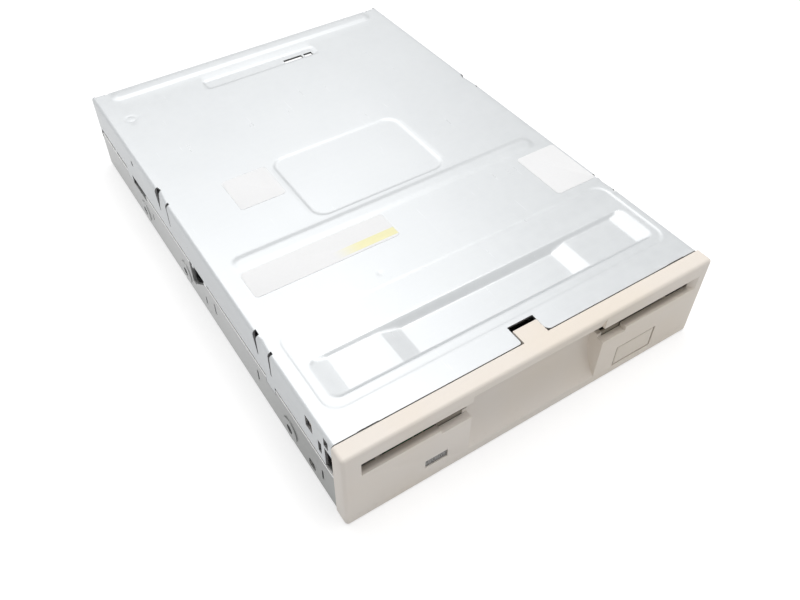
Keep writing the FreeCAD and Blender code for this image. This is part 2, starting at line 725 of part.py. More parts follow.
def build_chassis():
    """The lower frame: side walls, mounting ledges, raised deck and rear wall."""
    wall_x, in_x, sheet = METAL_X, WALL_IN_X, FRAME_SHEET
    half = [(0, DECK_BOTTOM), (RISER_IN_X, DECK_BOTTOM), (RISER_IN_X, 0), (wall_x, 0),
            (wall_x, WALL_TOP), (in_x, WALL_TOP), (in_x, sheet), (RISER_X, sheet),
            (RISER_X, DECK_TOP), (0, DECK_TOP)]
    section = prism_y(half, CLEAR, BODY_DEPTH)
    bends = [e for e in section.Edges if e.BoundBox.YLength > sheet
             and e.BoundBox.XMin > wall_x - 0.01 and e.BoundBox.ZMax < 0.01]
    section = section.makeFillet(BEND_RADIUS, bends)
    frame = fuse(both(section))
    rear_wall = box(-in_x, in_x, BODY_DEPTH - sheet, BODY_DEPTH, 0.0, WALL_TOP)
    frame = fuse([frame, rear_wall])

    extras = []
    for y in SIDE_HOLES_Y:
        # Pressed boss outside and threaded collar inside
        extras += both(cylinder(SIDE_BOSS_R, (wall_x - WELD, y, SIDE_HOLE_Z),
                                (wall_x + SIDE_BOSS_RISE, y, SIDE_HOLE_Z)))
        extras += both(bar(MOUNT_HOLE_R + COLLAR_WALL, (in_x - COLLAR_LENGTH, y, SIDE_HOLE_Z),
                           (in_x + WELD, y, SIDE_HOLE_Z)))
    for y in BOTTOM_HOLES_Y:
        extras += both(bar(MOUNT_HOLE_R + COLLAR_WALL / 2, (BOTTOM_HOLES_X, y, WELD),
                           (BOTTOM_HOLES_X, y, sheet + COLLAR_LENGTH)))
    for y in BOSSES_Y:
        # Bosses that the boards are screwed up against
        extras += both(bar(BOSS_R, (BOSS_X, y, BOARD_TOP + SEAT), (BOSS_X, y, DECK_TOP - WELD)))
    extras += both(spring_lug(SPRING_FRONT, sheet, sheet - WELD, SPRING_Z + SPRING_R))
    frame = fuse([frame] + extras)

    through = RISER_IN_X - 0.5
    under, over = DECK_BOTTOM - PAST, DECK_TOP + PAST
    motor_side = MOTOR_R + MOTOR_SPACE
    tools = [
        box(-through, through, -PAST, DECK_FRONT, under, over),
        box(-through, through, DECK_REAR, BODY_DEPTH - sheet, under, over),
        cylinder(ROTOR_R + ROTOR_GAP, (0, SPINDLE_Y, under), (0, SPINDLE_Y, over)),
        box(SCREW_X - motor_side, SCREW_X + motor_side, MOTOR_FRONT - SEAT, DECK_REAR + PAST, under, over),
        box(-RISER_X + 7.0, RISER_X - 4.5, BODY_DEPTH - sheet - PAST, BODY_DEPTH + PAST,
            REAR_WALL_SILL, WALL_TOP + PAST),
        eased_block(-9.0, 9.0, CARRIAGE_REAR - 40.0, CARRIAGE_REAR - 23.0, under, over, 1.5),
        eased_block(ROD_X - 13.0, ROD_X - 7.0, CARRIAGE_REAR - 22.0, ROD_REAR + 0.5, under, over, 1.5),
    ]
    for y in SIDE_HOLES_Y:
        tools += both(cylinder(MOUNT_HOLE_R, (in_x - COLLAR_LENGTH - PAST, y, SIDE_HOLE_Z),
                               (wall_x + PAST, y, SIDE_HOLE_Z)))
    for y in BOTTOM_HOLES_Y:
        tools += both(cylinder(MOUNT_HOLE_R, (BOTTOM_HOLES_X, y, -PAST),
                               (BOTTOM_HOLES_X, y, sheet + COLLAR_LENGTH + PAST)))
    for y in STUDS_Y:
        tools += both(bar(STUD_R + FIT, (STUD_X, y, under), (STUD_X, y, over), 12))
    for y in POSTS_Y:
        tools += both(bar(POST_STUB_R + FIT, (POST_X, y, under), (POST_X, y, over)))
    tools += both(spring_hole(SPRING_FRONT, sheet))

    low, high = in_x - 0.4, wall_x + PAST
    channel = ROLLER_R + ROLLER_PLAY
    floor, lead_in = DECK_BOTTOM - WELD, REAR_ROLLER_Y - 8.3
    notch = [(lead_in, WALL_TOP + PAST), (lead_in, WALL_TOP - PAST),
             (REAR_ROLLER_Y - channel, DECK_BOTTOM + 0.4), (REAR_ROLLER_Y - channel, floor),
             (REAR_ROLLER_Y + channel, floor), (REAR_ROLLER_Y + channel, WALL_TOP + PAST)]
    tools += both(prism_x(notch, low, high))
    for y0, y1, bottom in SEAM_TABS:
        if bottom < WALL_TOP:
            tools += both(box(low, high, y0 - SEAM_TAB_GAP, y1 + SEAM_TAB_GAP, bottom - SEAM_TAB_GAP,
                              WALL_TOP + PAST))
    tools += both(box(low, high, SIDE_VENT_FRONT, SIDE_VENT_FRONT + SIDE_VENT_LENGTH,
                      WALL_TOP - SIDE_VENT_DROP, WALL_TOP + PAST))
    tools += both(snap_window(LOWER_SNAP, low, high, 0.6))
    for y, z0, z1 in SIDE_SLITS:
        tools += both(box(low, high, y - SIDE_SLIT / 2, y + SIDE_SLIT / 2, z0, z1))
    return cut(frame, tools).removeSplitter()


def scoop_void():
    """The finger scoop: a curved ramp into the bezel, up to the slot's floor."""
    radius = ((SCOOP_TOP - SCOOP_BOTTOM) ** 2 + BEZEL_DEPTH ** 2) / (2 * BEZEL_DEPTH)
    turn = math.asin((SCOOP_TOP - SCOOP_BOTTOM) / radius) / 2
    mid = Vector(SCOOP_LEFT, -radius + radius * math.cos(turn), SCOOP_TOP - radius * math.sin(turn))
    low = Vector(SCOOP_LEFT, FRONT, SCOOP_BOTTOM)
    high = Vector(SCOOP_LEFT, 0, SCOOP_TOP)
    corners = [high, Vector(SCOOP_LEFT, 0, SLOT_TOP), Vector(SCOOP_LEFT, FRONT - PAST, SLOT_TOP),
               Vector(SCOOP_LEFT, FRONT - PAST, SCOOP_BOTTOM), low]
    edges = [Part.Arc(low, mid, high).toShape()]
    edges += [Part.LineSegment(a, b).toShape() for a, b in zip(corners, corners[1:])]
    return Part.Face(Part.Wire(edges)).extrude(Vector(SCOOP_RIGHT - SCOOP_LEFT, 0, 0))


def build_bezel():
    """The moulded front: a shell with a slot, a finger scoop, windows and snap arms."""
    half = WIDTH / 2
    body = box(-half, half, FRONT, 0, 0, HEIGHT)
    front_edges = [e for e in body.Edges if e.BoundBox.YMax < FRONT + 0.01
                   or e.BoundBox.YLength > BEZEL_DEPTH - 0.1]
    body = body.makeFillet(BEZEL_EDGE, front_edges)
    inside_y = FRONT + BEZEL_WALL
    hollow = box(-half + BEZEL_RIM, half - BEZEL_RIM, inside_y, PAST, BEZEL_RIM, HEIGHT - BEZEL_RIM)
    shell = body.cut(hollow)

    root, web = inside_y - WELD, BEZEL_WEB
    pocket = [(root, BEZEL_RIM - WELD), (0, BEZEL_RIM - WELD), (web, SCOOP_BOTTOM + 5.0),
              (web, SLOT_BOTTOM), (root, SLOT_BOTTOM)]
    adds = [
        prism_x(pocket, SCOOP_LEFT - web, SCOOP_RIGHT + web),
        box(SCOOP_LEFT - web, SCOOP_RIGHT + web, root, inside_y + web / 2, SLOT_TOP,
            HEIGHT - BEZEL_RIM + WELD),
        box(TONGUE_LEFT + CLEAR, TONGUE_RIGHT - CLEAR, -WELD, TONGUE_REACH, HEIGHT - TONGUE_THICK,
            HEIGHT),
        box(-SLOT_X, SLOT_X, root, inside_y + SLOT_LIP, SLOT_BOTTOM - SLOT_LIP_DEPTH, SLOT_BOTTOM),
    ]
    rib_rear = FLAP_Y - FLAP_BARREL_R - CLEAR
    for x in BEZEL_RIBS_X:
        left_side, right_side = x - BEZEL_RIB / 2, x + BEZEL_RIB / 2
        adds.append(box(left_side, right_side, root, rib_rear, SLOT_TOP + CLEAR, HEIGHT - BEZEL_EDGE))
        adds.append(box(left_side, right_side, root, rib_rear, BEZEL_EDGE,
                        SLOT_BOTTOM - NOTCH_DROP - CLEAR))
    # Snap arms whose barbs spring into the side windows
    for sheet, (z0, z1, reach) in ((COVER_SHEET, UPPER_SNAP), (FRAME_SHEET, LOWER_SNAP)):
        arm_out = METAL_X - sheet - SEAT
        catch = METAL_X - sheet / 2
        adds += both(box(arm_out - SNAP_THICK, arm_out, root, reach, z0, z1))
        barb = [(arm_out - WELD, reach - SNAP_BARB), (catch, reach - SNAP_BARB + CLEAR),
                (arm_out - WELD, reach)]
        adds += both(prism_z(barb, z0, z1))
    # Ears for the flap's rod
    ear_in = FLAP_X + CLEAR
    ear_low, ear_rear, ear_top = FLAP_Z - 1.6, FLAP_Y + 1.4, FLAP_Z + 1.1
    ear = [(root, ear_low), (ear_rear, ear_low), (ear_rear, ear_top), (root, ear_top)]
    adds += both(prism_x(ear, ear_in, ear_in + EAR_WIDTH))
    # Guides round the button's opening
    left, right = button_edges(CLEAR)
    bottom, top = BUTTON_BOTTOM - CLEAR, BUTTON_BOTTOM + BUTTON_HEIGHT + CLEAR
    guide_rear = -2 * CLEAR
    adds.append(box(left - BEZEL_RIB, left, root, guide_rear, bottom, top + BEZEL_RIB))
    adds.append(box(right, right + BEZEL_RIB, root, guide_rear, bottom, top + BEZEL_RIB))
    shell = fuse([shell] + adds)

    lens_half = LENS_WIDTH / 2 + SEAT
    brow = [(FRONT - PAST, HEIGHT - 0.6), (FRONT, HEIGHT - 0.6), (FRONT + 0.9, SLOT_TOP - SEAT),
            (FRONT - PAST, SLOT_TOP - SEAT)]
    bevel = [(SLOT_X - SEAT, inside_y), (SLOT_X - SEAT, FRONT - SEAT), (SLOT_X + 1.5, FRONT - SEAT)]
    rod_reach = FLAP_X + CLEAR + EAR_WIDTH + PAST
    tools = [
        scoop_void(),
        box(-SLOT_X, SLOT_X, FRONT - PAST, SEAT, SLOT_BOTTOM, SLOT_TOP),
        box(NOTCH_LEFT, NOTCH_RIGHT, FRONT - PAST, inside_y + SLOT_LIP + SEAT, SLOT_BOTTOM - NOTCH_DROP,
            SLOT_BOTTOM),
        prism_x(brow, SCOOP_LEFT, SCOOP_RIGHT - 0.7),
        box(left, right, FRONT - PAST, PAST, bottom, top),
        box(LENS_X - lens_half, LENS_X + lens_half, FRONT - PAST, PAST, LENS_BOTTOM - SEAT,
            LENS_BOTTOM + LENS_HEIGHT + SEAT),
        cylinder(FLAP_ROD_R + FIT, (-rod_reach, FLAP_Y, FLAP_Z), (rod_reach, FLAP_Y, FLAP_Z)),
        prism_z(bevel, SLOT_BOTTOM, SLOT_TOP),
    ]
    return cut(shell, tools).removeSplitter()


def button_edges(gap):
    """Left and right edges of the button, let out by a gap."""
    return BUTTON_X - BUTTON_WIDTH / 2 - gap, BUTTON_X + BUTTON_WIDTH / 2 + gap


def build_flap():
    """The slot's flap and the sleeve on its rod, with a gap for its spring."""
    y, z, sheet = FLAP_Y, FLAP_Z, FLAP_SHEET
    leaf = box(-FLAP_X, FLAP_X, y - sheet / 2, y + sheet / 2, SLOT_BOTTOM + CLEAR, z)
    sleeve = cylinder(FLAP_BARREL_R, (-FLAP_X, y, z), (FLAP_X, y, z))
    ribs = [box(x - sheet / 2, x + sheet / 2, y, y + 0.9, SLOT_BOTTOM + 3 * CLEAR, z) for x in FLAP_RIBS_X]
    gap_x, gap = FLAP_SPRING_LENGTH / 2 + CLEAR, 2 * FLAP_BARREL_R
    spring_gap = box(FLAP_SPRING_X - gap_x, FLAP_SPRING_X + gap_x, y - gap, y + gap,
                     z - FLAP_BARREL_R - 0.85, z + gap)
    bore = cylinder(FLAP_ROD_R + FIT, (-FLAP_X - PAST, y, z), (FLAP_X + PAST, y, z))
    return cut(fuse([leaf, sleeve] + ribs), [spring_gap, bore])


def build_flap_parts():
    """The flap, its rod and its spring."""
    save("slot_flap", build_flap())
    reach = FLAP_X + CLEAR + EAR_WIDTH - SEAT
    save("flap_rod", cylinder(FLAP_ROD_R, (-reach, FLAP_Y, FLAP_Z), (reach, FLAP_Y, FLAP_Z)))
    save("flap_spring", torsion_spring(FLAP_SPRING_X - FLAP_SPRING_LENGTH / 2, FLAP_Y, FLAP_Z,
                                       FLAP_ROD_R + FIT, FLAP_SPRING_WIRE, FLAP_SPRING_LENGTH))


def build_button():
    """The eject button: a hollow cap and a stem that hooks over the slide plate."""
    left, right = button_edges(0)
    top = BUTTON_BOTTOM + BUTTON_HEIGHT
    front = FRONT + BUTTON_INSET
    wall = 1.2
    cap_rear = FRONT + EJECT_TRAVEL + 0.9
    cap = box(left, right, front, cap_rear, BUTTON_BOTTOM, top)
    rim = [e for e in cap.Edges if e.BoundBox.YMax < front + 0.01]
    cap = cap.makeFillet(0.5, rim)
    cap = cap.cut(box(left + wall, right - wall, front + wall, cap_rear + PAST, BUTTON_BOTTOM + wall,
                      top - wall))
    stem_z = DECK_TOP + CLEAR + SLIDE_SHEET + SEAT
    stem_half, stem_front = 3.2, front + wall - 0.4
    stem = box(BUTTON_X - stem_half, BUTTON_X + stem_half, stem_front, PEG_Y + PEG_R + 0.7, stem_z,
               stem_z + 1.4)
    peg = bar(PEG_R, (BUTTON_X, PEG_Y, DECK_TOP + CLEAR), (BUTTON_X, PEG_Y, stem_z + 0.5))
    gusset = [(stem_front + WELD, stem_z + WELD), (stem_front + WELD, BUTTON_BOTTOM + wall - WELD),
              (PEG_Y - PEG_R - 3.7, stem_z + WELD)]
    gusset = prism_x(gusset, BUTTON_X - wall / 2, BUTTON_X + wall / 2)
    save("eject_button", fuse([cap, stem, peg, gusset]))


def build_slide():
    """The U-shaped slide plate with four sloping slots, and the studs that hold it down."""
    base_z = DECK_TOP + CLEAR
    top_z = base_z + SLIDE_SHEET
    under, over = base_z - PAST, top_z + PAST
    arm_in = STUD_X - STUD_HEAD_R
    rear = REAR_ROLLER_Y + 9.2
    bar_rear = BAR_FRONT + BAR_WIDTH
    cross_bar = box(-SLIDE_X, SLIDE_X, BAR_FRONT, bar_rear, base_z, top_z)
    arms = both(box(arm_in, SLIDE_X, BAR_FRONT, rear, base_z, top_z))
    flange_in = SLIDE_X - SLIDE_SHEET
    flange_top, flange_low = ROLLER_Z + ROLLER_R + 1.3, base_z + 3.0
    outline = [(FRONT_ROLLER_Y - 6.0, base_z), (FRONT_ROLLER_Y - 3.6, flange_top),
               (FRONT_ROLLER_Y + 8.0, flange_top), (FRONT_ROLLER_Y + 12.0, flange_low),
               (REAR_ROLLER_Y - 8.0, flange_low), (REAR_ROLLER_Y - 4.0, flange_top),
               (REAR_ROLLER_Y + 7.6, flange_top), (rear, flange_low), (rear, base_z)]
    flanges = both(prism_x(outline, flange_in, SLIDE_X))
    # Turned-down tabs that the eject springs pull on
    tabs = both(spring_lug(SPRING_REAR, SLIDE_SHEET, SPRING_Z - SPRING_R, base_z + SEAT))
    # Gussets at the corners of the U
    gusset = prism_z([(arm_in - GUSSET, bar_rear - SEAT), (arm_in + PAST, bar_rear - SEAT),
                      (arm_in + PAST, bar_rear + GUSSET / 2), (arm_in, bar_rear + GUSSET / 2)],
                     base_z, top_z)
    plate = fuse([cross_bar] + arms + flanges + tabs + both(gusset))

    tools = [bar(PEG_R + SEAT, (BUTTON_X, PEG_Y, under), (BUTTON_X, PEG_Y, over)),
             box(-14.0, 14.0, BAR_FRONT - PAST, BAR_FRONT + 1.4, under, over)]
    for y in STUDS_Y:
        tools += both(slot_z((STUD_X, y), (STUD_X, y + EJECT_TRAVEL), STUD_R + ROLLER_PLAY, under, over))
    tools += both(spring_hole(SPRING_REAR, SLIDE_SHEET))
    for y in (FRONT_ROLLER_Y, REAR_ROLLER_Y):
        tools += both(ramp_slot(y, flange_in - PAST, SLIDE_X + PAST))
    window_front = STUDS_Y[0] + EJECT_TRAVEL + 4.5
    tools += both(eased_block(arm_in + 2.2, SLIDE_X - 3.4, window_front, STUDS_Y[1] - 6.5, under, over,
                              1.0))
    save("slide_plate", cut(plate, tools).removeSplitter())

    studs = []
    neck = top_z + CLEAR
    for y in STUDS_Y:
        shank = bar(STUD_R, (STUD_X, y, DECK_BOTTOM), (STUD_X, y, neck), 12)
        head = bar(STUD_HEAD_R, (STUD_X, y, neck), (STUD_X, y, neck + STUD_HEAD))
        studs += both(shank.fuse(head).removeSplitter())
    save("slide_guides", Part.makeCompound(studs))


def ramp_slot(y, x0, x1):
    """A sloping slot: as the slide goes forward, the roller in it comes down."""
    play = ROLLER_R + ROLLER_PLAY
    start, end = (y, ROLLER_Z), (y + EJECT_TRAVEL, ROLLER_Z - CARRIER_DROP)
    slope = math.hypot(EJECT_TRAVEL, CARRIER_DROP)
    ny, nz = CARRIER_DROP / slope * play, EJECT_TRAVEL / slope * play
    sides = [(start[0] + ny, start[1] + nz), (end[0] + ny, end[1] + nz),
             (end[0] - ny, end[1] - nz), (start[0] - ny, start[1] - nz)]
    ends = [cylinder(play, (x0, py, pz), (x1, py, pz)) for py, pz in (start, end)]
    return prism_x(sides, x0, x1).multiFuse(ends)


def build_posts():
    """Four posts that the lowered disk rests on: the rear pair has locating tips."""
    posts = []
    for y, tip in zip(POSTS_Y, (0.0, POST_TIP)):
        base = bar(POST_R, (POST_X, y, DECK_TOP + FIT), (POST_X, y, POST_TOP))
        stub = bar(POST_STUB_R, (POST_X, y, DECK_BOTTOM), (POST_X, y, POST_TOP + tip))
        posts += both(fuse([base, stub]))
    save("disk_posts", Part.makeCompound(posts))


def build_eject_springs():
    """Two tension springs between the frame's lugs and the slide plate's tabs."""
    start = SPRING_FRONT - PAST + SPRING_LEAD
    end = SPRING_REAR + SLIDE_SHEET + PAST - SPRING_LEAD
    spring = tension_spring(SPRING_X, SPRING_Z, start, end, SPRING_R, SPRING_WIRE, SPRING_LEAD)
    save("eject_springs", Part.makeCompound(both(spring)))


def build_carrier():
    """The disk carrier: a folded sheet channel with a head window and four lowered tabs."""
    sheet, out = CARRIER_SHEET, CARRIER_X
    floor, roof = CARRIER_FLOOR, CARRIER_ROOF
    lip = BAY_X - CARRIER_LIP
    outline = [(-out, floor - sheet), (-lip, floor - sheet), (-lip, floor), (-BAY_X, floor),
               (-BAY_X, roof), (BAY_X, roof), (BAY_X, floor), (lip, floor), (lip, floor - sheet),
               (out, floor - sheet), (out, roof + sheet), (-out, roof + sheet)]
    body = prism_y(outline, CARRIER_FRONT, CARRIER_REAR)
    adds = []
    tab_z = ROLLER_Z - ROLLER_R - 0.5
    for y in (FRONT_ROLLER_Y, REAR_ROLLER_Y):
        tab = [(y - 3.4, floor), (y + 3.4, floor), (y + 1.8, tab_z), (y - 1.8, tab_z)]
        adds += both(prism_x(tab, BAY_X, out))
    # Turned-down stops behind the disk, and the tongue under the upper arm's wing
    for x in STOPS_X:
        adds.append(box(x, x + STOP_WIDTH, CARRIER_REAR - sheet, CARRIER_REAR, floor + 2 * CLEAR,
                        roof + SEAT))
    tongue_rear = ARM_LIFT_Y + TONGUE_PAST_WING
    adds.append(box(-TONGUE_X, -HEAD_WINDOW_X, TONGUE_ROOT, tongue_rear, roof, roof + sheet))
    body = fuse([body] + adds)
    low, high = roof - PAST, roof + sheet + PAST
    tools = [
        eased_block(-HEAD_WINDOW_X, HEAD_WINDOW_X, HEAD_WINDOW_FRONT, CARRIER_REAR + 2 * WINDOW_CORNER,
                    low, high, WINDOW_CORNER),
        eased_block(-THUMB_X, THUMB_X, CARRIER_FRONT - 2 * WINDOW_CORNER, CARRIER_FRONT + THUMB_DEPTH,
                    low, high, WINDOW_CORNER),
        lever_slot(low, high),
        cylinder(SHAFT_R + FIT, (LEVER_X, LEVER_Y, low), (LEVER_X, LEVER_Y, high)),
        slot_z((GUIDE_SLOT_X, GUIDE_SLOT_Y[0]), (GUIDE_SLOT_X, GUIDE_SLOT_Y[1]), GUIDE_SLOT_R, low, high),
    ]
    for y in (FRONT_ROLLER_Y, REAR_ROLLER_Y):
        tools += both(bar(ROLLER_STEM_R + FIT, (BAY_X - PAST, y, ROLLER_Z), (out + PAST, y, ROLLER_Z)))
    # Lanced pressure fingers, each freed by a U-shaped slit
    half, rear = FINGER_WIDTH / 2, FINGER_FRONT + FINGER_LENGTH
    slit = eased_block(FINGER_X - half, FINGER_X + half, FINGER_FRONT, rear, low, high, FINGER_SLIT)
    finger = box(FINGER_X - half + FINGER_SLIT, FINGER_X + half - FINGER_SLIT, FINGER_FRONT - PAST,
                 rear - FINGER_SLIT, low - PAST, high + PAST)
    tools += both(slit.cut(finger))
    tools += both(box(lip - PAST, BAY_X, *LIP_GAP_Y, floor - sheet - PAST, floor + SEAT))
    save("disk_carrier", cut(body, tools).removeSplitter())

    pins = []
    for y, reach in ((FRONT_ROLLER_Y, SLIDE_X + 0.7), (REAR_ROLLER_Y, METAL_X - CLEAR)):
        collar_x = out + 2 * CLEAR
        stem = bar(ROLLER_STEM_R, (BAY_X - 0.4, y, ROLLER_Z), (out + SEAT, y, ROLLER_Z))
        collar = bar(ROLLER_COLLAR_R, (out + SEAT, y, ROLLER_Z), (collar_x, y, ROLLER_Z))
        roller = cylinder(ROLLER_R, (collar_x, y, ROLLER_Z), (reach, y, ROLLER_Z))
        pins += both(fuse([stem, collar, roller]))
    save("carrier_rollers", Part.makeCompound(pins))


def lever_slot(z0, z1):
    """The curved slot that the shutter lever's pin runs in."""
    play = LEVER_PIN_R + CLEAR
    sweep = ring(LEVER_REACH + play, LEVER_REACH - play, LEVER_X, LEVER_Y, z0, z1)
    a, b = LEVER_REST_ANGLE, LEVER_REST_ANGLE - LEVER_SWING
    far = LEVER_REACH * 3
    wedge = [(LEVER_X, LEVER_Y)]
    for angle in (a, (a + b) / 2, b):
        wedge.append((LEVER_X + far * math.cos(math.radians(angle)),
                      LEVER_Y + far * math.sin(math.radians(angle))))
    ends = [cylinder(play, (*lever_pin(angle), z0), (*lever_pin(angle), z1)) for angle in (a, b)]
    return sweep.common(prism_z(wedge, z0, z1)).multiFuse(ends)


def lever_pin(angle):
    """Where the lever's pin stands at an angle."""
    turn = math.radians(angle)
    return LEVER_X + LEVER_REACH * math.cos(turn), LEVER_Y + LEVER_REACH * math.sin(turn)


def build_lever():
    """The shutter lever, its rivet and its return spring."""
    z0 = CARRIER_TOP + SEAT
    z1 = z0 + LEVER_SHEET
    centre = (LEVER_X, LEVER_Y)
    px, py = lever_pin(LEVER_REST_ANGLE)
    tail_x, tail_y = LEVER_X + 1.0, LEVER_Y - LEVER_TAIL
    arm = slot_z(centre, (px, py), LEVER_ARM_R, z0, z1)
    hub = cylinder(LEVER_HUB_R, (*centre, z0), (*centre, z1))
    tail = slot_z(centre, (tail_x, tail_y), LEVER_TAIL_R, z0, z1)
    pin = cylinder(LEVER_PIN_R, (px, py, CARRIER_FLOOR + 0.4), (px, py, z0 + WELD))
    lever = fuse([arm, hub, tail, pin])
    lever = cut(lever, [cylinder(SHAFT_R + FIT, (*centre, z0 - PAST), (*centre, z1 + PAST))])
    save("shutter_lever", lever)

    top, bottom = z1 + SEAT, CARRIER_ROOF - SEAT
    shank = cylinder(SHAFT_R, (*centre, bottom), (*centre, top))
    heads = [bar(RIVET_HEAD_R, (*centre, top), (*centre, top + RIVET_HEAD)),
             bar(RIVET_HEAD_R, (*centre, bottom - RIVET_HEAD + WELD), (*centre, bottom))]
    save("lever_pivot", fuse([shank] + heads))

    # A small tension spring from the lever's tail to a post on the carrier
    wire, radius = LEVER_SPRING_WIRE, LEVER_SPRING_R
    z = z1 + wire + SEAT
    rear = tail_y - LEVER_ARM_R
    front = rear - LEVER_SPRING_LENGTH
    spring = tension_spring(tail_x, z, front, rear, radius, wire, LEVER_SPRING_LEAD)
    post_y = front - LEVER_SPRING_LEAD - radius
    post = bar(radius, (tail_x, post_y, z0), (tail_x, post_y, z + wire))
    save("lever_spring", Part.makeCompound([spring, post]))


def build_spindle():
    """The turning part of the disk motor."""
    y = SPINDLE_Y
    shaft = cylinder(SHAFT_R, (0, y, BOARD_BOTTOM - 0.6), (0, y, SHAFT_TIP))
    save("spindle_shaft", shaft.makeChamfer(SHAFT_R / 3, top_edges(shaft, SHAFT_TIP)))

    top = UNDER_DISK
    well_z = top - HUB_MAGNET_SUNK
    boss = cylinder(HUB_R, (0, y, ROTOR_TOP + SEAT), (0, y, top))
    boss = boss.makeChamfer(HUB_EDGE, top_edges(boss, top))
    neck = cylinder(HUB_NECK_R, (0, y, ROTOR_TOP - ROTOR_SHEET), (0, y, top))
    bore = cylinder(SHAFT_R + FIT, (0, y, 0), (0, y, HEIGHT))
    well = ring(HUB_MAGNET_OUT, HUB_MAGNET_IN, 0, y, well_z, top + PAST)
    pin_x = (HUB_R - HUB_EDGE + HUB_MAGNET_OUT) / 2
    pin_foot = top - DRIVE_PIN_DEPTH
    pin_hole = bar(DRIVE_PIN_R + FIT, (pin_x, y, pin_foot), (pin_x, y, top + PAST))
    save("spindle_hub", cut(fuse([boss, neck]), [bore, well, pin_hole]))
    save("hub_magnet", ring(HUB_MAGNET_OUT - SEAT, HUB_MAGNET_IN + SEAT, 0, y, well_z + FIT,
                            top + HUB_MAGNET_RISE))
    save("drive_pin", bar(DRIVE_PIN_R, (pin_x, y, pin_foot + FIT), (pin_x, y, top + DRIVE_PIN_RISE)))

    cup = ring(ROTOR_R, HUB_NECK_R + FIT, 0, y, ROTOR_BOTTOM, ROTOR_TOP)
    rim = [e for e in top_edges(cup, ROTOR_TOP) if e.BoundBox.XLength > ROTOR_R]
    cup = cup.makeChamfer(ROTOR_EDGE, rim)
    inside, roof = ROTOR_R - ROTOR_SHEET, ROTOR_TOP - ROTOR_SHEET
    tools = [cylinder(inside, (0, y, ROTOR_BOTTOM - PAST), (0, y, roof))]
    hole_at = (HUB_R + inside) / 2
    for i in range(ROTOR_HOLES):
        turn = 2 * math.pi * (i + 0.5) / ROTOR_HOLES
        hx, hy = hole_at * math.cos(turn), y + hole_at * math.sin(turn)
        tools.append(bar(ROTOR_HOLE_R, (hx, hy, roof - PAST), (hx, hy, ROTOR_TOP + PAST)))
    save("rotor_cup", cut(cup, tools))
    magnet_out = inside - SEAT
    save("rotor_magnet", ring(magnet_out, magnet_out - MAGNET_THICK, 0, y, ROTOR_BOTTOM + MAGNET_END_GAP,
                              roof - MAGNET_END_GAP))


def build_stator():
    """The fixed part of the disk motor: bearing, toothed core and coils."""
    y = SPINDLE_Y
    z0 = BOARD_TOP + CORE_LIFT
    z1 = z0 + CORE_THICK
    sleeve = cylinder(BEARING_R, (0, y, BOARD_BOTTOM - 0.8), (0, y, ROTOR_TOP - ROTOR_SHEET - CLEAR))
    flange = cylinder(BEARING_R + BEARING_FLANGE, (0, y, BOARD_TOP + FIT),
                      (0, y, BOARD_TOP + FIT + BEARING_FLANGE_THICK))
    bore = cylinder(SHAFT_R + FIT, (0, y, 0), (0, y, HEIGHT))
    save("bearing_housing", cut(fuse([sleeve, flange]), [bore]))

    outer = ROTOR_R - ROTOR_SHEET - SEAT - MAGNET_THICK - AIR_GAP
    inner, shoe_in = BEARING_R + CORE_BACK - PAST, outer - SHOE_THICK
    half, shoe_half = TOOTH_WIDTH / 2, SHOE_WIDTH / 2
    arm = prism_z([(inner, -half), (shoe_in, -half), (shoe_in, -shoe_half), (outer - WELD, -shoe_half),
                   (outer, 0), (outer - WELD, shoe_half), (shoe_in, shoe_half), (shoe_in, half),
                   (inner, half)], z0, z1)
    coil_half = half + COIL_THICK
    winding = box(inner + PAST + COIL_THICK, shoe_in - COIL_THICK, -coil_half, coil_half,
                  z0 - COIL_RISE, z1 + COIL_RISE)
    winding = winding.cut(box(0, outer, -half - FIT, half + FIT, z0 - FIT, z1 + FIT))
    arms, coils = [], []
    for i in range(TEETH):
        for source, target in ((arm, arms), (winding, coils)):
            turned = source.copy()
            turned.rotate(Vector(0, 0, 0), Z_AXIS, 360.0 * i / TEETH)
            turned.translate(Vector(0, y, 0))
            target.append(turned)
    hub = ring(BEARING_R + CORE_BACK, BEARING_R + FIT, 0, y, z0, z1)
    save("stator_core", fuse([hub] + arms))
    save("stator_coils", Part.makeCompound(coils))


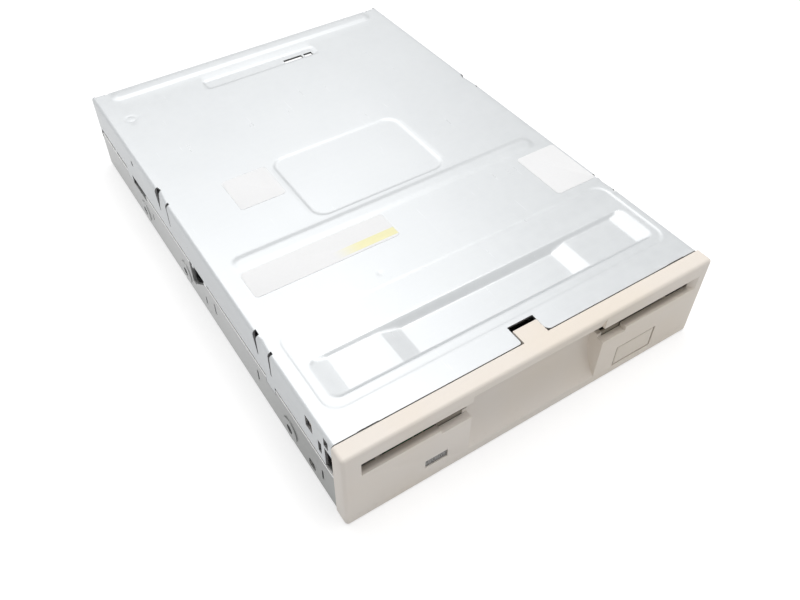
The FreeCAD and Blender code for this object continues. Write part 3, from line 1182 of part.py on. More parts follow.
def build_boards():
    """The motor board, the main board, what is on them and the shield."""
    edge_x = RISER_IN_X - CLEAR
    motor_x = RISER_X - BOARD_SIDE_GAP
    motor = box(-motor_x, motor_x, BOARD_FRONT, MOTOR_BOARD_REAR, BOARD_BOTTOM, BOARD_TOP)
    led_arm = box(LENS_X - 8.25, LENS_X + 5.75, LED_ARM_FRONT, BOARD_FRONT + WELD, BOARD_BOTTOM,
                  BOARD_TOP)
    centre = cylinder(BEARING_R + FIT, (0, SPINDLE_Y, 0), (0, SPINDLE_Y, BOARD_TOP + PAST))
    save("motor_board", cut(fuse([motor, led_arm]), [centre]))
    save("main_board", box(-edge_x, edge_x, MAIN_BOARD_FRONT, BOARD_REAR, BOARD_BOTTOM, BOARD_TOP))

    seat = BOARD_BOTTOM - SEAT
    under = seat - CHIP_THICK, seat
    over = BOARD_TOP + SEAT, BOARD_TOP + SEAT + 0.8 * CHIP_THICK
    chips = [board_block(MAIN_BOARD_FRONT, 14.0, -5.0, 14.0, 14.0, *under),
             board_block(MAIN_BOARD_FRONT, 10.0, -25.0, 10.0, 7.0, *under),
             board_block(MAIN_BOARD_FRONT, 10.0, 19.0, 10.0, 8.0, *under),
             board_block(MAIN_BOARD_FRONT, 32.0, -5.0, 6.0, 3.5, *over),
             board_block(MAIN_BOARD_FRONT, 4.5, 9.0, 4.0, 3.0, *over),
             board_block(MOTOR_BOARD_REAR, -10.0, 22.0, 8.0, 5.0, *under)]
    save("board_chips", Part.makeCompound(chips))
    save("board_link", box(-LINK_X, LINK_X, MOTOR_BOARD_REAR - LINK_LAP, MAIN_BOARD_FRONT + LINK_LAP,
                           BOARD_TOP + SEAT, BOARD_TOP + SEAT + LINK_THICK))

    # Shield under the main board: its turned-up edges carry the board
    shield_x, sheet, z0 = RISER_IN_X - SEAT, SHIELD_SHEET, SHIELD_BOTTOM
    front = MAIN_BOARD_FRONT + PAST
    plate = box(-shield_x, shield_x, front, BOARD_REAR, z0, z0 + sheet)
    edges = both(box(shield_x - sheet, shield_x, front, BOARD_REAR, z0, seat))
    half = SHIELD_VENT_WIDTH / 2
    middle = (SHIELD_VENTS - 1) / 2
    vents = []
    for i in range(SHIELD_VENTS):
        x = (i - middle) * SHIELD_VENT_PITCH
        vents.append(box(x - half, x + half, *SHIELD_VENT_Y, z0 - PAST, z0 + PAST))
    save("bottom_shield", cut(fuse([plate] + edges), vents))


def board_block(edge, back, x, width, depth, z0, z1):
    """A chip on a board, placed by its front edge's distance behind a board's edge."""
    return box(x - width / 2, x + width / 2, edge + back, edge + back + depth, z0, z1)


def connector_pin(x, z, reach):
    """A square pin that stands out of a connector's rear face."""
    half = PIN_SIDE / 2
    return box(x - half, x + half, CONNECTOR_REAR + FIT, CONNECTOR_REAR + reach, z - half, z + half)


def build_connectors():
    """The 34-pin data connector and the 4-pin power connector at the back."""
    rear, front = CONNECTOR_REAR, CONNECTOR_FRONT
    z0 = BOARD_TOP + SEAT
    half = (DATA_PINS - 1) / 2 * PIN_PITCH
    top = z0 + 2 * (PIN_PITCH + DATA_WALL)
    block = box(DATA_X - half - DATA_END, DATA_X + half + DATA_END, front, rear, z0, top)
    key = box(DATA_X - KEY_WIDTH / 2, DATA_X + KEY_WIDTH / 2, rear - 1.0, rear + PAST,
              top - 2 * DATA_WALL, top + PAST)
    save("data_connector", block.cut(key))
    pins = []
    for i in range(DATA_PINS):
        for row in (0.5, 1.5):
            pins.append(connector_pin(DATA_X - half + i * PIN_PITCH, z0 + DATA_WALL + PIN_PITCH * row,
                                      PIN_REACH))
    save("data_pins", Part.makeCompound(pins))

    power_half = (POWER_PINS - 1) / 2 * POWER_PITCH
    pins = [connector_pin(POWER_X - power_half + i * POWER_PITCH, z0 + 2.0, PIN_REACH - 0.6)
            for i in range(POWER_PINS)]
    body = box(POWER_X - POWER_HALF, POWER_X + POWER_HALF, front, rear, z0, z0 + POWER_HEIGHT)
    ears = []
    for side in (-1, 1):
        x = POWER_X + side * (POWER_HALF - POWER_EAR / 2)
        ears.append(box(x - POWER_EAR / 2, x + POWER_EAR / 2, rear - WELD, rear + POWER_HEIGHT, z0,
                        z0 + POWER_EAR_HEIGHT))
    save("power_connector", fuse([body] + ears))
    save("power_pins", Part.makeCompound(pins))


def build_carriage():
    """The head carriage on its guide rod, with the fork, the needle arm and the sensor flag."""
    rear, front = CARRIAGE_REAR, CARRIAGE_FRONT
    low, top = CARRIAGE_BOTTOM, CARRIAGE_TOP
    nose_front = HEAD_Y - HEAD_LENGTH / 2 - 2.6
    root = front + 0.5
    parts = [
        box(ROD_X, CARRIAGE_RIGHT, front, rear, low + 0.6, top),
        cylinder(ROD_BOSS_R, (ROD_X, front - ROD_BOSS_LEAD, ROD_Z), (ROD_X, rear, ROD_Z)),
        prism_z([(-NOSE_BACK_X, root), (-NOSE_X, nose_front), (NOSE_X, nose_front), (NOSE_BACK_X, root)],
                top - NOSE_THICK, top),
        prism_z([(ROD_X, root), (-NOSE_BACK_X, front - 6.0), (-NOSE_BACK_X + 0.5, root)], top - 3.0, top),
    ]
    # Ears that carry the upper arm's pivot
    ear = [(ARM_PIVOT_Y - 3.0, top - 0.5), (ARM_PIVOT_Y - 1.8, ARM_PIVOT_Z + 1.2),
           (ARM_PIVOT_Y + 1.4, ARM_PIVOT_Z + 1.8), (rear, ARM_PIVOT_Z), (rear, top - 0.5)]
    parts += both(prism_x(ear, *PIVOT_EAR_X))
    # Fork round the bracket's rail, and the arm that carries the needle
    rail_under, rail_over = RAIL_Z - RAIL_PLAY, RAIL_Z + BRACKET_SHEET + RAIL_PLAY
    fork_in, fork_out = CARRIAGE_RIGHT - WELD, RAIL_X + 1.6
    y0, y1 = front + 2.0, front + 2.0 + FORK_LENGTH
    parts.append(box(fork_in, fork_out, y0, y1, rail_over, rail_over + FORK_THICK))
    parts.append(box(fork_in, fork_out, y0, y1, rail_under - FORK_THICK, rail_under))
    parts.append(box(fork_in - FORK_THICK, fork_in + 0.4, y0, y1, rail_under - FORK_THICK, ROD_Z))
    needle_y = y0 + FORK_THICK
    arm_end = SCREW_X - LEAD_SCREW_R - 1.0
    parts.append(box(fork_in, arm_end, needle_y - NEEDLE_ARM / 2, needle_y + NEEDLE_ARM / 2,
                     SCREW_Z - 1.0, SCREW_Z + 0.8))
    parts.append(bar(NEEDLE_R, (arm_end - WELD, needle_y, SCREW_Z),
                     (SCREW_X - LEAD_SCREW_R - SEAT, needle_y, SCREW_Z)))
    # Flag for the track sensor
    parts.append(box(FLAG_X - FLAG_THICK / 2, FLAG_X + FLAG_THICK / 2, rear - 0.5, rear + FLAG_REACH,
                     low + 0.8, low + 3.4))
    body = fuse(parts)
    pocket_front, pocket_rear = front + POCKET_WALL, rear - POCKET_WALL
    pocket_top = top - POCKET_ROOF
    pivot_x = PIVOT_EAR_X[1] + PAST
    tools = [cylinder(ROD_R + FIT, (ROD_X, 0, ROD_Z), (ROD_X, BODY_DEPTH, ROD_Z)),
             cylinder(ARM_PIVOT_R + FIT, (-pivot_x, ARM_PIVOT_Y, ARM_PIVOT_Z),
                      (pivot_x, ARM_PIVOT_Y, ARM_PIVOT_Z)),
             eased_block(-6.0, 6.0, pocket_front, pocket_rear, low, pocket_top, 1.0),
             eased_block(-14.0, -8.0, pocket_front, pocket_rear, low, pocket_top, 1.0)]
    save("head_carriage", cut(body, tools).removeSplitter())
    save("lower_head", head_slider(top + FIT, LOWER_HEAD_TOP, LOWER_HEAD_TOP))


def head_slider(z0, z1, working_z):
    """A head slider with the edges of its working face eased."""
    half_y, half_x = HEAD_LENGTH / 2, HEAD_WIDTH / 2
    head = box(-half_x, half_x, HEAD_Y - half_y, HEAD_Y + half_y, z0, z1)
    return head.makeChamfer(HEAD_EDGE, top_edges(head, working_z))


def raised(shape):
    """Turns a piece of the upper arm from its level place up to its rest."""
    shape = shape.copy()
    shape.rotate(Vector(0, ARM_PIVOT_Y, ARM_PIVOT_Z), X_AXIS, -ARM_LIFT)
    return shape


def build_upper_arm():
    """The upper head's arm, drawn level on the disk and then lifted to its rest."""
    sheet = ARM_SHEET
    z0, z1 = ARM_PIVOT_Z - sheet / 2, ARM_PIVOT_Z + sheet / 2
    tip = HEAD_Y - HEAD_LENGTH / 2
    shoulder = ARM_PIVOT_Y - 8.0
    plate = prism_z([(-ARM_BACK_X, ARM_PIVOT_Y), (-ARM_BACK_X, shoulder), (-ARM_TIP_X, tip),
                     (ARM_TIP_X, tip), (ARM_BACK_X, shoulder), (ARM_BACK_X, ARM_PIVOT_Y)], z0, z1)
    pivot = ARM_PIVOT_Y, ARM_PIVOT_Z
    knuckles = both(cylinder(KNUCKLE_R, (KNUCKLE_X[0], *pivot), (KNUCKLE_X[1], *pivot)))
    ribs = both(box(ARM_TIP_X + 0.4, ARM_TIP_X + 0.4 + sheet, HEAD_Y + HEAD_LENGTH, ARM_PIVOT_Y - 4.0,
                    z1 - WELD, z1 + 0.5))
    # A wing on the left that the carrier's tongue lifts, with a foot that reaches into the sheet
    wing_z = CARRIER_TOP - CARRIER_DROP + WING_GAP
    wing_front, wing_rear = ARM_LIFT_Y - WING_WIDTH / 2, ARM_LIFT_Y + WING_WIDTH / 2
    wing_in = -ARM_BACK_X + sheet
    wing = [box(-ARM_BACK_X, -ARM_TIP_X, wing_rear - WING_FOOT, wing_rear, z0, z1),
            box(-ARM_BACK_X, wing_in, wing_front, wing_rear, z0, wing_z + sheet),
            box(-WING_X, wing_in, wing_front, wing_rear, wing_z, wing_z + sheet)]
    gap = box(-KNUCKLE_X[0], KNUCKLE_X[0], ARM_PIVOT_Y - 3.0, ARM_PIVOT_Y + 3.0, z0 - 3.0, z1 + 3.0)
    bore = cylinder(ARM_PIVOT_R + FIT, (-ARM_PIVOT_X, *pivot), (ARM_PIVOT_X, *pivot))
    save("head_arm", raised(cut(fuse([plate] + knuckles + ribs + wing), [gap, bore])))
    low = LOWER_HEAD_TOP + MEDIA_GAP
    save("upper_head", raised(head_slider(low, z0 - FIT, low)))
    save("arm_pivot", cylinder(ARM_PIVOT_R, (-ARM_PIVOT_X, *pivot), (ARM_PIVOT_X, *pivot)))
    save("arm_spring", torsion_spring(-ARM_SPRING_LENGTH / 2, *pivot, ARM_PIVOT_R + FIT,
                                      ARM_SPRING_WIRE, ARM_SPRING_LENGTH))


def build_rod():
    """The carriage's guide rod, the two blocks that hold it and the track sensor."""
    save("guide_rod", cylinder(ROD_R, (ROD_X, ROD_FRONT, ROD_Z), (ROD_X, ROD_REAR, ROD_Z)))
    z0 = DECK_TOP + FIT
    blocks = []
    for y0 in (ROD_FRONT + 0.5, ROD_REAR - CLIP_THICK - 1.0):
        y1 = y0 + CLIP_THICK
        foot = box(ROD_X - CLIP_FOOT_X, ROD_X + CLIP_FOOT_X, y0, y1, z0, DECK_TOP + CLIP_FOOT)
        post = box(ROD_X - CLIP_X, ROD_X + CLIP_X, y0, y1, z0, ROD_Z + ROD_R + 0.7)
        hole = cylinder(ROD_R + FIT, (ROD_X, y0 - PAST, ROD_Z), (ROD_X, y1 + PAST, ROD_Z))
        blocks.append(foot.fuse(post).removeSplitter().cut(hole))
    save("rod_clips", Part.makeCompound(blocks))

    size, gap = 3.6, FLAG_THICK / 2 + 0.5
    y0 = CARRIAGE_REAR + 1.2
    base = box(FLAG_X - size, FLAG_X + size, y0, y0 + size, z0, CARRIAGE_BOTTOM + 4.0)
    slot = box(FLAG_X - gap, FLAG_X + gap, y0 - PAST, y0 + size + PAST, CARRIAGE_BOTTOM + CLEAR, HEIGHT)
    save("track_sensor", base.cut(slot))


def build_stepper():
    """The stepper motor on its bracket, and the lead screw that it turns."""
    front, sheet = MOTOR_FRONT, BRACKET_SHEET
    axis = SCREW_X, SCREW_Z
    can = along_screw(MOTOR_R, front, front + MOTOR_LENGTH)
    rims = [e for e in can.Edges if e.BoundBox.YLength < 0.01]
    can = can.makeChamfer(MOTOR_EDGE, rims)
    nose = along_screw(MOTOR_NOSE_R, front - MOTOR_NOSE, front + WELD)
    screw_rear = front + 2.5
    hollow = along_screw(LEAD_SCREW_R + FIT, front - MOTOR_NOSE - PAST, screw_rear + 0.5)
    save("stepper_motor", cut(fuse([can, nose]), [hollow]))

    z0 = DECK_TOP + FIT
    near, back = BRACKET_FRONT, front - SEAT
    left, right = RAIL_X + 2.6, axis[0] + MOTOR_R + MOTOR_SPACE
    rail_top = RAIL_Z + sheet
    parts = [
        box(left, right, near, back, z0, z0 + sheet),
        box(left, right, back - sheet, back, z0, axis[1] + MOTOR_R - 1.5),
        box(axis[0] - MOTOR_NOSE_R, axis[0] + MOTOR_NOSE_R, near, near + sheet, z0, axis[1] + 1.8),
        box(left, left + sheet, near, back, z0, rail_top),
        box(RAIL_X, left + sheet, near, back - 3.0, RAIL_Z, rail_top),
    ]
    tools = [along_screw(MOTOR_NOSE_R + SEAT, back - sheet - PAST, back + PAST),
             along_screw(SCREW_TAIL_R + FIT, near - PAST, near + sheet + PAST)]
    save("stepper_bracket", cut(fuse(parts), tools))

    shoulder = near + sheet + 0.4
    save("lead_screw", fuse([along_screw(SCREW_TAIL_R, near - 0.4, shoulder + 0.4),
                             along_screw(LEAD_SCREW_R, shoulder, screw_rear)]))


def along_screw(radius, y0, y1):
    """A round bar on the lead screw's axis."""
    return cylinder(radius, (SCREW_X, y0, SCREW_Z), (SCREW_X, y1, SCREW_Z))


def build_switches():
    """Switch bodies on the deck and their plungers."""
    bodies = []
    z0 = DECK_TOP + FIT
    hole_floor = SWITCH_TOP - PLUNGER_HOLE_DEPTH
    half = PLUNGER_WIDTH / 2
    for name, (side, y) in SWITCH_SPOTS.items():
        x = side * SWITCH_X
        body = box(x - SWITCH_HALF_X, x + SWITCH_HALF_X, y - SWITCH_HALF_Y, y + SWITCH_HALF_Y, z0,
                   SWITCH_TOP)
        hole = half + FIT
        bodies.append(body.cut(box(x - hole, x + hole, y - hole, y + hole, hole_floor, SWITCH_TOP + PAST)))
        tip = SWITCH_TOP + PLUNGER_RISE
        plunger = box(x - half, x + half, y - half, y + half, hole_floor + PLUNGER_STROKE, tip)
        save(name, plunger.makeChamfer(PLUNGER_EDGE, top_edges(plunger, tip)))
    save("disk_switches", Part.makeCompound(bodies))


def build_lamp():
    """The activity lamp behind its lens."""
    half = LENS_WIDTH / 2
    top = LENS_BOTTOM + LENS_HEIGHT
    lens_back = FRONT + BEZEL_WALL + CLEAR
    save("led_lens", box(LENS_X - half, LENS_X + half, FRONT + LENS_INSET, lens_back, LENS_BOTTOM, top))
    body = box(LENS_X - half + CLEAR, LENS_X + half - CLEAR, lens_back + SEAT, 0.6, LENS_BOTTOM + SEAT,
               top - SEAT)
    legs = []
    z, leg = LENS_BOTTOM + LENS_HEIGHT / 2, WELD
    turn_y = LED_ARM_FRONT + 0.7
    for x in (LENS_X - PIN_PITCH / 2, LENS_X + PIN_PITCH / 2):
        legs.append(box(x - leg, x + leg, 0.4, turn_y + leg, z - leg, z + leg))
        legs.append(box(x - leg, x + leg, turn_y - leg, turn_y + leg, BOARD_TOP + FIT, z + leg))
    save("activity_led", fuse([body] + legs))


def main():
    os.makedirs("parts", exist_ok=True)
    save("top_cover", build_cover())
    save("chassis", build_chassis())
    save("front_bezel", build_bezel())
    build_flap_parts()
    build_button()
    build_lamp()
    build_slide()
    build_eject_springs()
    build_posts()
    build_carrier()
    build_lever()
    build_spindle()
    build_stator()
    build_boards()
    build_connectors()
    build_carriage()
    build_upper_arm()
    build_rod()
    build_stepper()
    build_switches()


main()
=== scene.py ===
"""Looks of the 3.5-inch floppy disk drive: finishes, the fine pressing of its cover, and what is
too small for its solids, such as screws, wound springs, chip legs and labels.

Lengths are in millimetres in the drive's own directions, as in the solids: x to the right, y to
the back from the bezel's back face, and z up. place() turns them into the frame's metres.
"""

import math

import bmesh
import bpy
import numpy as np
from mathutils import Euler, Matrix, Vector


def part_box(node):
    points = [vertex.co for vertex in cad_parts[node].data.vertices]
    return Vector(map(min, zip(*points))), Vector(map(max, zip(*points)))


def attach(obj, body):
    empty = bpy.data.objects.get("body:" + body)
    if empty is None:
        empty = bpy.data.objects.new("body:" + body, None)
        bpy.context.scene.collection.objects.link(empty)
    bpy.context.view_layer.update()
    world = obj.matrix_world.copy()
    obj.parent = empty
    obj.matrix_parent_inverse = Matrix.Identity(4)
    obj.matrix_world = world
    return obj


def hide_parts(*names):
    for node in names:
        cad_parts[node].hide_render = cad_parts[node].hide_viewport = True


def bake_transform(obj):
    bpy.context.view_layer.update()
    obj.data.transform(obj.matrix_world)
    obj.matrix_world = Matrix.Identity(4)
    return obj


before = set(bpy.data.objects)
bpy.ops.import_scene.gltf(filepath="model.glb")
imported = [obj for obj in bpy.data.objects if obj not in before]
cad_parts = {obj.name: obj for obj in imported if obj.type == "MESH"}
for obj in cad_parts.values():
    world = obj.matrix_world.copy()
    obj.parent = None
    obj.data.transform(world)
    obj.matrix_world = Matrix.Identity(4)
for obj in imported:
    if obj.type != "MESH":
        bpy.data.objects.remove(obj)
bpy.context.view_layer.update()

MM = 0.001
MIDDLE_Y = 70.425

# The cover's sheet, its fold, and the seam where its sides meet the frame
COVER_X = 50.5
COVER_TOP = 25.0
COVER_SHEET = 0.6
COVER_FRONT = 0.5
COVER_REAR = 145.0
SEAM = 14.0
RAISED_SEAM = SEAM + 0.4
BEND = 1.0
FLAT_X = COVER_X - BEND
FLAT_REAR = COVER_REAR - BEND
BEND_LENGTH = BEND * math.pi / 2

# What is pressed into its top: left, right, front and rear edge, corner radius, height, and how
# wide its slope is. These are two beads, the pan round the trough, and two panels.
PAN = (-47.0, 48.2, 7.0, 31.5)
PANEL = (-20.0, 20.0, 59.8, 87.3)
PRESSED = (((-45.5, 45.5, 52.8, 58.4), 2.6, 0.4, 1.4),
           ((-45.5, 45.5, 138.5, 144.1), 2.6, 0.4, 1.4),
           (PAN, 4.0, -0.15, 0.3),
           (PANEL, 4.0, -0.25, 0.4),
           ((-19.0, 19.5, 129.5, 134.7), 1.2, -0.3, 0.45))

# The stepped trough: where its depth changes along it and across it, and how deep it is there
TROUGH_X = (-44.8, -40.0, -26.6, -21.8, 21.8, 26.6, 41.5, 46.3)
TROUGH_Y = (9.7, 11.2, 19.4, 21.5)
TROUGH_SHELF = 0.9
TROUGH_FLOOR = 1.7
TROUGH_CORNER = 3.0
TROUGH_CORNER_SLOPE = 1.1

# Marks of the press. The ring has its place, radius, line's width and depth, and the pin its
# place, radius and depth.
RING_MARK = (-44.3, 127.7, 1.5, 0.45, 0.12)
PIN_MARK = (-17.3, 35.0, 0.8, 0.15)

# What is cut out of the blank. Openings in the top are left, right, front and rear edge, and
# windows in the sides are front, rear, low and high edge.
TOP_OPENINGS = ((-2.9, 4.2, 0.0, 5.7), (-44.5, -39.5, 0.0, 0.6), (41.0, 46.0, 0.0, 0.6),
                (7.8, 14.2, 130.1, 131.9), (15.0, 17.8, 130.1, 131.9))
SIDE_WINDOWS = ((5.0, 6.4, 16.0, 19.8), (1.9, 3.7, 21.3, 24.0), (112.4, 113.6, 20.0, 21.6),
                (8.65, 11.55, 18.65, 22.25))
FRONT_CUT_REAR = 3.6
FRONT_CUT_TOP = 20.4
REAR_NOTCH_X = 46.0
REAR_NOTCH_HALF = 0.6
REAR_NOTCH_DROP = 5.5
REAR_OPENING_X = 38.0
REAR_OPENING_TOP = SEAM + 2.0
REAR_CORNER_GAP = 0.1

# The mouth of the notch for the bezel's tongue: each corner's place, which way it opens, and radius
NOTCH_MOUTH = ((-2.9, -1, 0.7), (4.2, 1, 1.4))
MOUTH_STEPS = 4

# Tabs that reach below the seam: front and rear edge, and how low they reach
SEAM_TABS = ((26.8, 31.2, 11.4), (64.3, 65.9, 13.3), (117.3, 121.4, 11.2), (130.3, 131.8, 13.3))

# Lanced tabs, and the two slits of each: where a slit starts and ends past the tab's place, how
# low it reaches, and how much narrower it is there. A tab leans in by its free edge.
LANCES = (27.0, 85.5)
SLITS = ((0.0, 0.9, 17.4, 0.5), (6.6, 8.4, 18.6, -1.4))
SLIT_TAPER = 1.3
TAB_LEAN = 0.55
TAB_LEAN_REACH = 4.6

# The grid that the cover is pressed on: its fine spans and its steps
FINE_X = ((-46.8, -42.2), (-20.3, -15.8), (15.8, 20.3), (42.4, 48.4))
FINE_Y = ((6.8, 11.6), (19.0, 21.9), (27.2, 31.7), (34.0, 36.0), (52.4, 58.8), (59.5, 64.2),
          (83.0, 87.5), (125.6, 130.0), (130.0, 135.0), (138.2, 144.0))
SIDE_LINES = (18.0, 19.2, 23.1)
FINE_STEP = 0.38
WIDE_STEP = 2.7
BEND_STEPS = 5

# Labels: left, right, front and rear edge. The long one's band fades in between its first two
# numbers, and then come its right, front and rear edge.
SQUARE_LABEL = (-34.8, -21.8, 73.2, 86.2)
TALL_LABEL = (36.7, 49.4, 34.0, 51.2)
LONG_LABEL = (-45.3, -5.8, 43.6, 52.75)
LABEL_BAND = (-24.0, -15.0, -5.8, 44.2, 47.0)

# The bezel's front, its slot, and the low walls behind its two finger notches
FRONT = -4.15
SLOT_X = 46.0
SLOT_BOTTOM = 16.9
SLOT_TOP = 21.4
RISERS = ((-27.0, -20.2), (19.6, 25.4))
RISER_FRONT = -2.1
RISER_THICK = 0.7
RISER_BOTTOM = 14.9
RISER_HEIGHT = 2.1
RISER_DRAFT = 0.12

# How the eject button sits in its window: a little to the right and down
BUTTON_PLAY = (0.12, 0.0, -0.12)
BUTTON_LENGTH = 6.4

# The frame's sheared edge along the seam, where a highlight is painted, and how far back from the
# frame's middle a painted dark reflection darkens its sheet towards the front
FRAME_X = 50.2
EDGE_HIGHLIGHT_LOW = 12.85
EDGE_HIGHLIGHT_HIGH = 13.2
DARK_REFLECTION_Y = (-66.0, -18.0)

# Eject springs: wound between a hook on the frame and one on the slide plate. A hook's points
# are how far they lie out from the spring's middle, and where along it.
EJECT_SPRING_X = 46.25
EJECT_SPRING_Z = 4.4
EJECT_COIL = (37.9, 60.9)
EJECT_COIL_R = 1.5
EJECT_TURNS = 26
EJECT_WIRE = 0.3
FRONT_HOOK = ((0.9, 34.9), (0.25, 34.8), (0.0, 35.1), (0.0, 36.5), (0.3, 37.4))
REAR_HOOK = ((0.3, 61.4), (0.0, 62.3), (0.0, 63.7), (0.25, 64.0), (0.9, 63.9))

# The lever's spring, and its post's radii from the foot up
LEVER_COIL_R = 0.6
LEVER_TURNS = 12
LEVER_WIRE = 0.18
LEVER_POST = (0.75, 0.55, 0.6)

# Close-wound springs on a pin: wire's radius, and how many of it one turn takes up
PIN_SPRINGS = (("flap_spring", "housing", 0.18), ("arm_spring", "carriage", 0.22))
CLOSE_PITCH = 2.05

# The lead screw's axis, core and thread
SCREW_AXIS = (22.0, 12.4)
SCREW_NECK = 1.65
SCREW_R = 1.24
THREAD_R = 1.16
THREAD_GAUGE = 0.33
THREAD_PITCH = 3.0

# Stator and its windings
SPINDLE_Y = 48.0
TEETH = 12
TOOTH_START = 9.4
TOOTH_LENGTH = 7.2
TOOTH_TURNS = 16
TOOTH_HALF = 1.42
TOOTH_BOTTOM = 5.32
TOOTH_TOP = 7.48
WINDING_WIRE = 0.24

# Boards, and what is under them. A chip has its middle, its width and depth, and the sides that
# have legs. A small part has its middle, and 1 where it lies along the drive: capacitors and
# resistors by turns. Each row of solder lies under a connector's pins or the link's end.
BOARD_BOTTOM = 3.4
BOARD_SCREW_X = 34.0
BOARD_SCREWS_Y = (12.0, 78.0, 99.0, 127.0)
BRACKET_SCREWS = ((27.2, 91.0, 7.86), (27.2, 111.0, 7.86))
CHIPS = ((-5, 115, 14, 14, "xy"), (-25, 107.5, 10, 7, "x"), (19, 108, 10, 8, "x"),
         (22, 76.5, 8, 5, "x"))
LEG_PITCH = 0.8
LEG_SIZE = (1.1, 0.32, 0.3)
LEG_REACH = 0.45
LEG_MARGIN = 1.6
LEG_DROP = 0.15
SMALL_PARTS = ((-30, 120, 0), (-30, 123, 0), (-26, 121.5, 1), (-17, 104, 1), (-17, 126, 0),
               (-13, 128, 1), (6, 126, 0), (8, 104, 1), (11, 121, 1), (14, 121, 1), (17, 121, 1),
               (24, 120, 0), (24, 122.5, 0), (28, 108, 1), (-35, 110, 1), (-35, 114, 1),
               (30, 126, 0), (4, 104, 1), (-30, 18, 0), (-30, 21, 0), (-27, 30, 1), (-8, 14, 1),
               (-4, 14, 1), (0, 14, 1), (16, 16, 0), (30, 24, 1), (33, 40, 1), (33, 46, 1),
               (-33, 40, 1), (-33, 60, 0), (14, 81, 0), (10, 79, 1), (-10, 80, 0), (-16, 80, 0),
               (30, 70, 1), (-26, 72, 1))
PART_BODY = 1.3
PART_END = 0.45
END_WIDTH = 1.36
DATA_X = -11.0
DATA_ROWS_Y = (135.2, 137.74)
DATA_COLUMNS = 17
DATA_PITCH = 2.54
POWER_X = 30.0
POWER_Y = 136.6
POWER_PINS = 4
POWER_PITCH = 2.5
LINK_LEFT = -5.5
LINK_ENDS_Y = (81.6, 97.0)
LINK_TRACKS = 12
JOINT_DROP = 0.45


def place(x, y, z):
    """A point of the drive, in millimetres, as a point of the frame in metres."""
    return Vector((x * MM, (y - MIDDLE_Y) * MM, z * MM))


def new_object(name, data):
    """A new object in the scene."""
    made = bpy.data.objects.new(name, data)
    bpy.context.scene.collection.objects.link(made)
    return made


# Node trees

class Nodes:
    """A node tree, the one method that adds a node to it, and two short forms of it."""

    def __init__(self, tree):
        self.tree = tree
        tree.nodes.clear()

    def add(self, kind, settings=None, sockets=None):
        """Adds a node. Its settings are made first, then its sockets' values or links."""
        node = self.tree.nodes.new(kind)
        for name, value in (settings or {}).items():
            setattr(node, name, value)
        for name, value in (sockets or {}).items():
            if isinstance(value, Number):
                value = value.socket
            if isinstance(value, bpy.types.NodeSocket):
                self.tree.links.new(value, node.inputs[name])
            else:
                node.inputs[name].default_value = value
        return node

    def split(self, vector):
        """The three parts of a vector's socket."""
        axes = self.add("ShaderNodeSeparateXYZ", {}, {0: vector}).outputs
        return [Number(self, axis) for axis in axes]

    def vector(self, x, y, z):
        """A vector of three numbers or sockets."""
        return self.add("ShaderNodeCombineXYZ", {}, {0: x, 1: y, 2: z}).outputs[0]


class Number:
    """A socket that carries a number, so that maths on it is written as an expression."""

    def __init__(self, nodes, socket):
        self.nodes = nodes
        self.socket = socket

    def maths(self, operation, *terms):
        node = self.nodes.add("ShaderNodeMath", {"operation": operation}, dict(enumerate(terms)))
        return Number(self.nodes, node.outputs[0])

    def __add__(self, other):
        return self.maths("ADD", self, other)

    def __sub__(self, other):
        return self.maths("SUBTRACT", self, other)

    def __rsub__(self, other):
        return self.maths("SUBTRACT", other, self)

    def __mul__(self, other):
        return self.maths("MULTIPLY", self, other)

    def __truediv__(self, other):
        return self.maths("DIVIDE", self, other)

    def __pow__(self, other):
        return self.maths("POWER", self, other)

    __radd__ = __add__
    __rmul__ = __mul__

    def above(self, other):
        """1 above another value and 0 below it."""
        return self.maths("GREATER_THAN", self, other)

    def over(self, low, high):
        """0 below low and 1 above high, with a soft step between."""
        node = self.nodes.add("ShaderNodeMapRange", {"interpolation_type": "SMOOTHSTEP"},
                              {"Value": self, "From Min": low, "From Max": high})
        return Number(self.nodes, node.outputs[0])

    def under(self, low, high):
        """1 below low and 0 above high."""
        return 1.0 - self.over(low, high)

    def most(self, other):
        return self.maths("MAXIMUM", self, other)

    def size(self):
        return self.maths("ABSOLUTE", self)

    def repeat(self, pitch):
        """The distance from the nearest multiple of a pitch."""
        return self.maths("PINGPONG", self, pitch / 2)


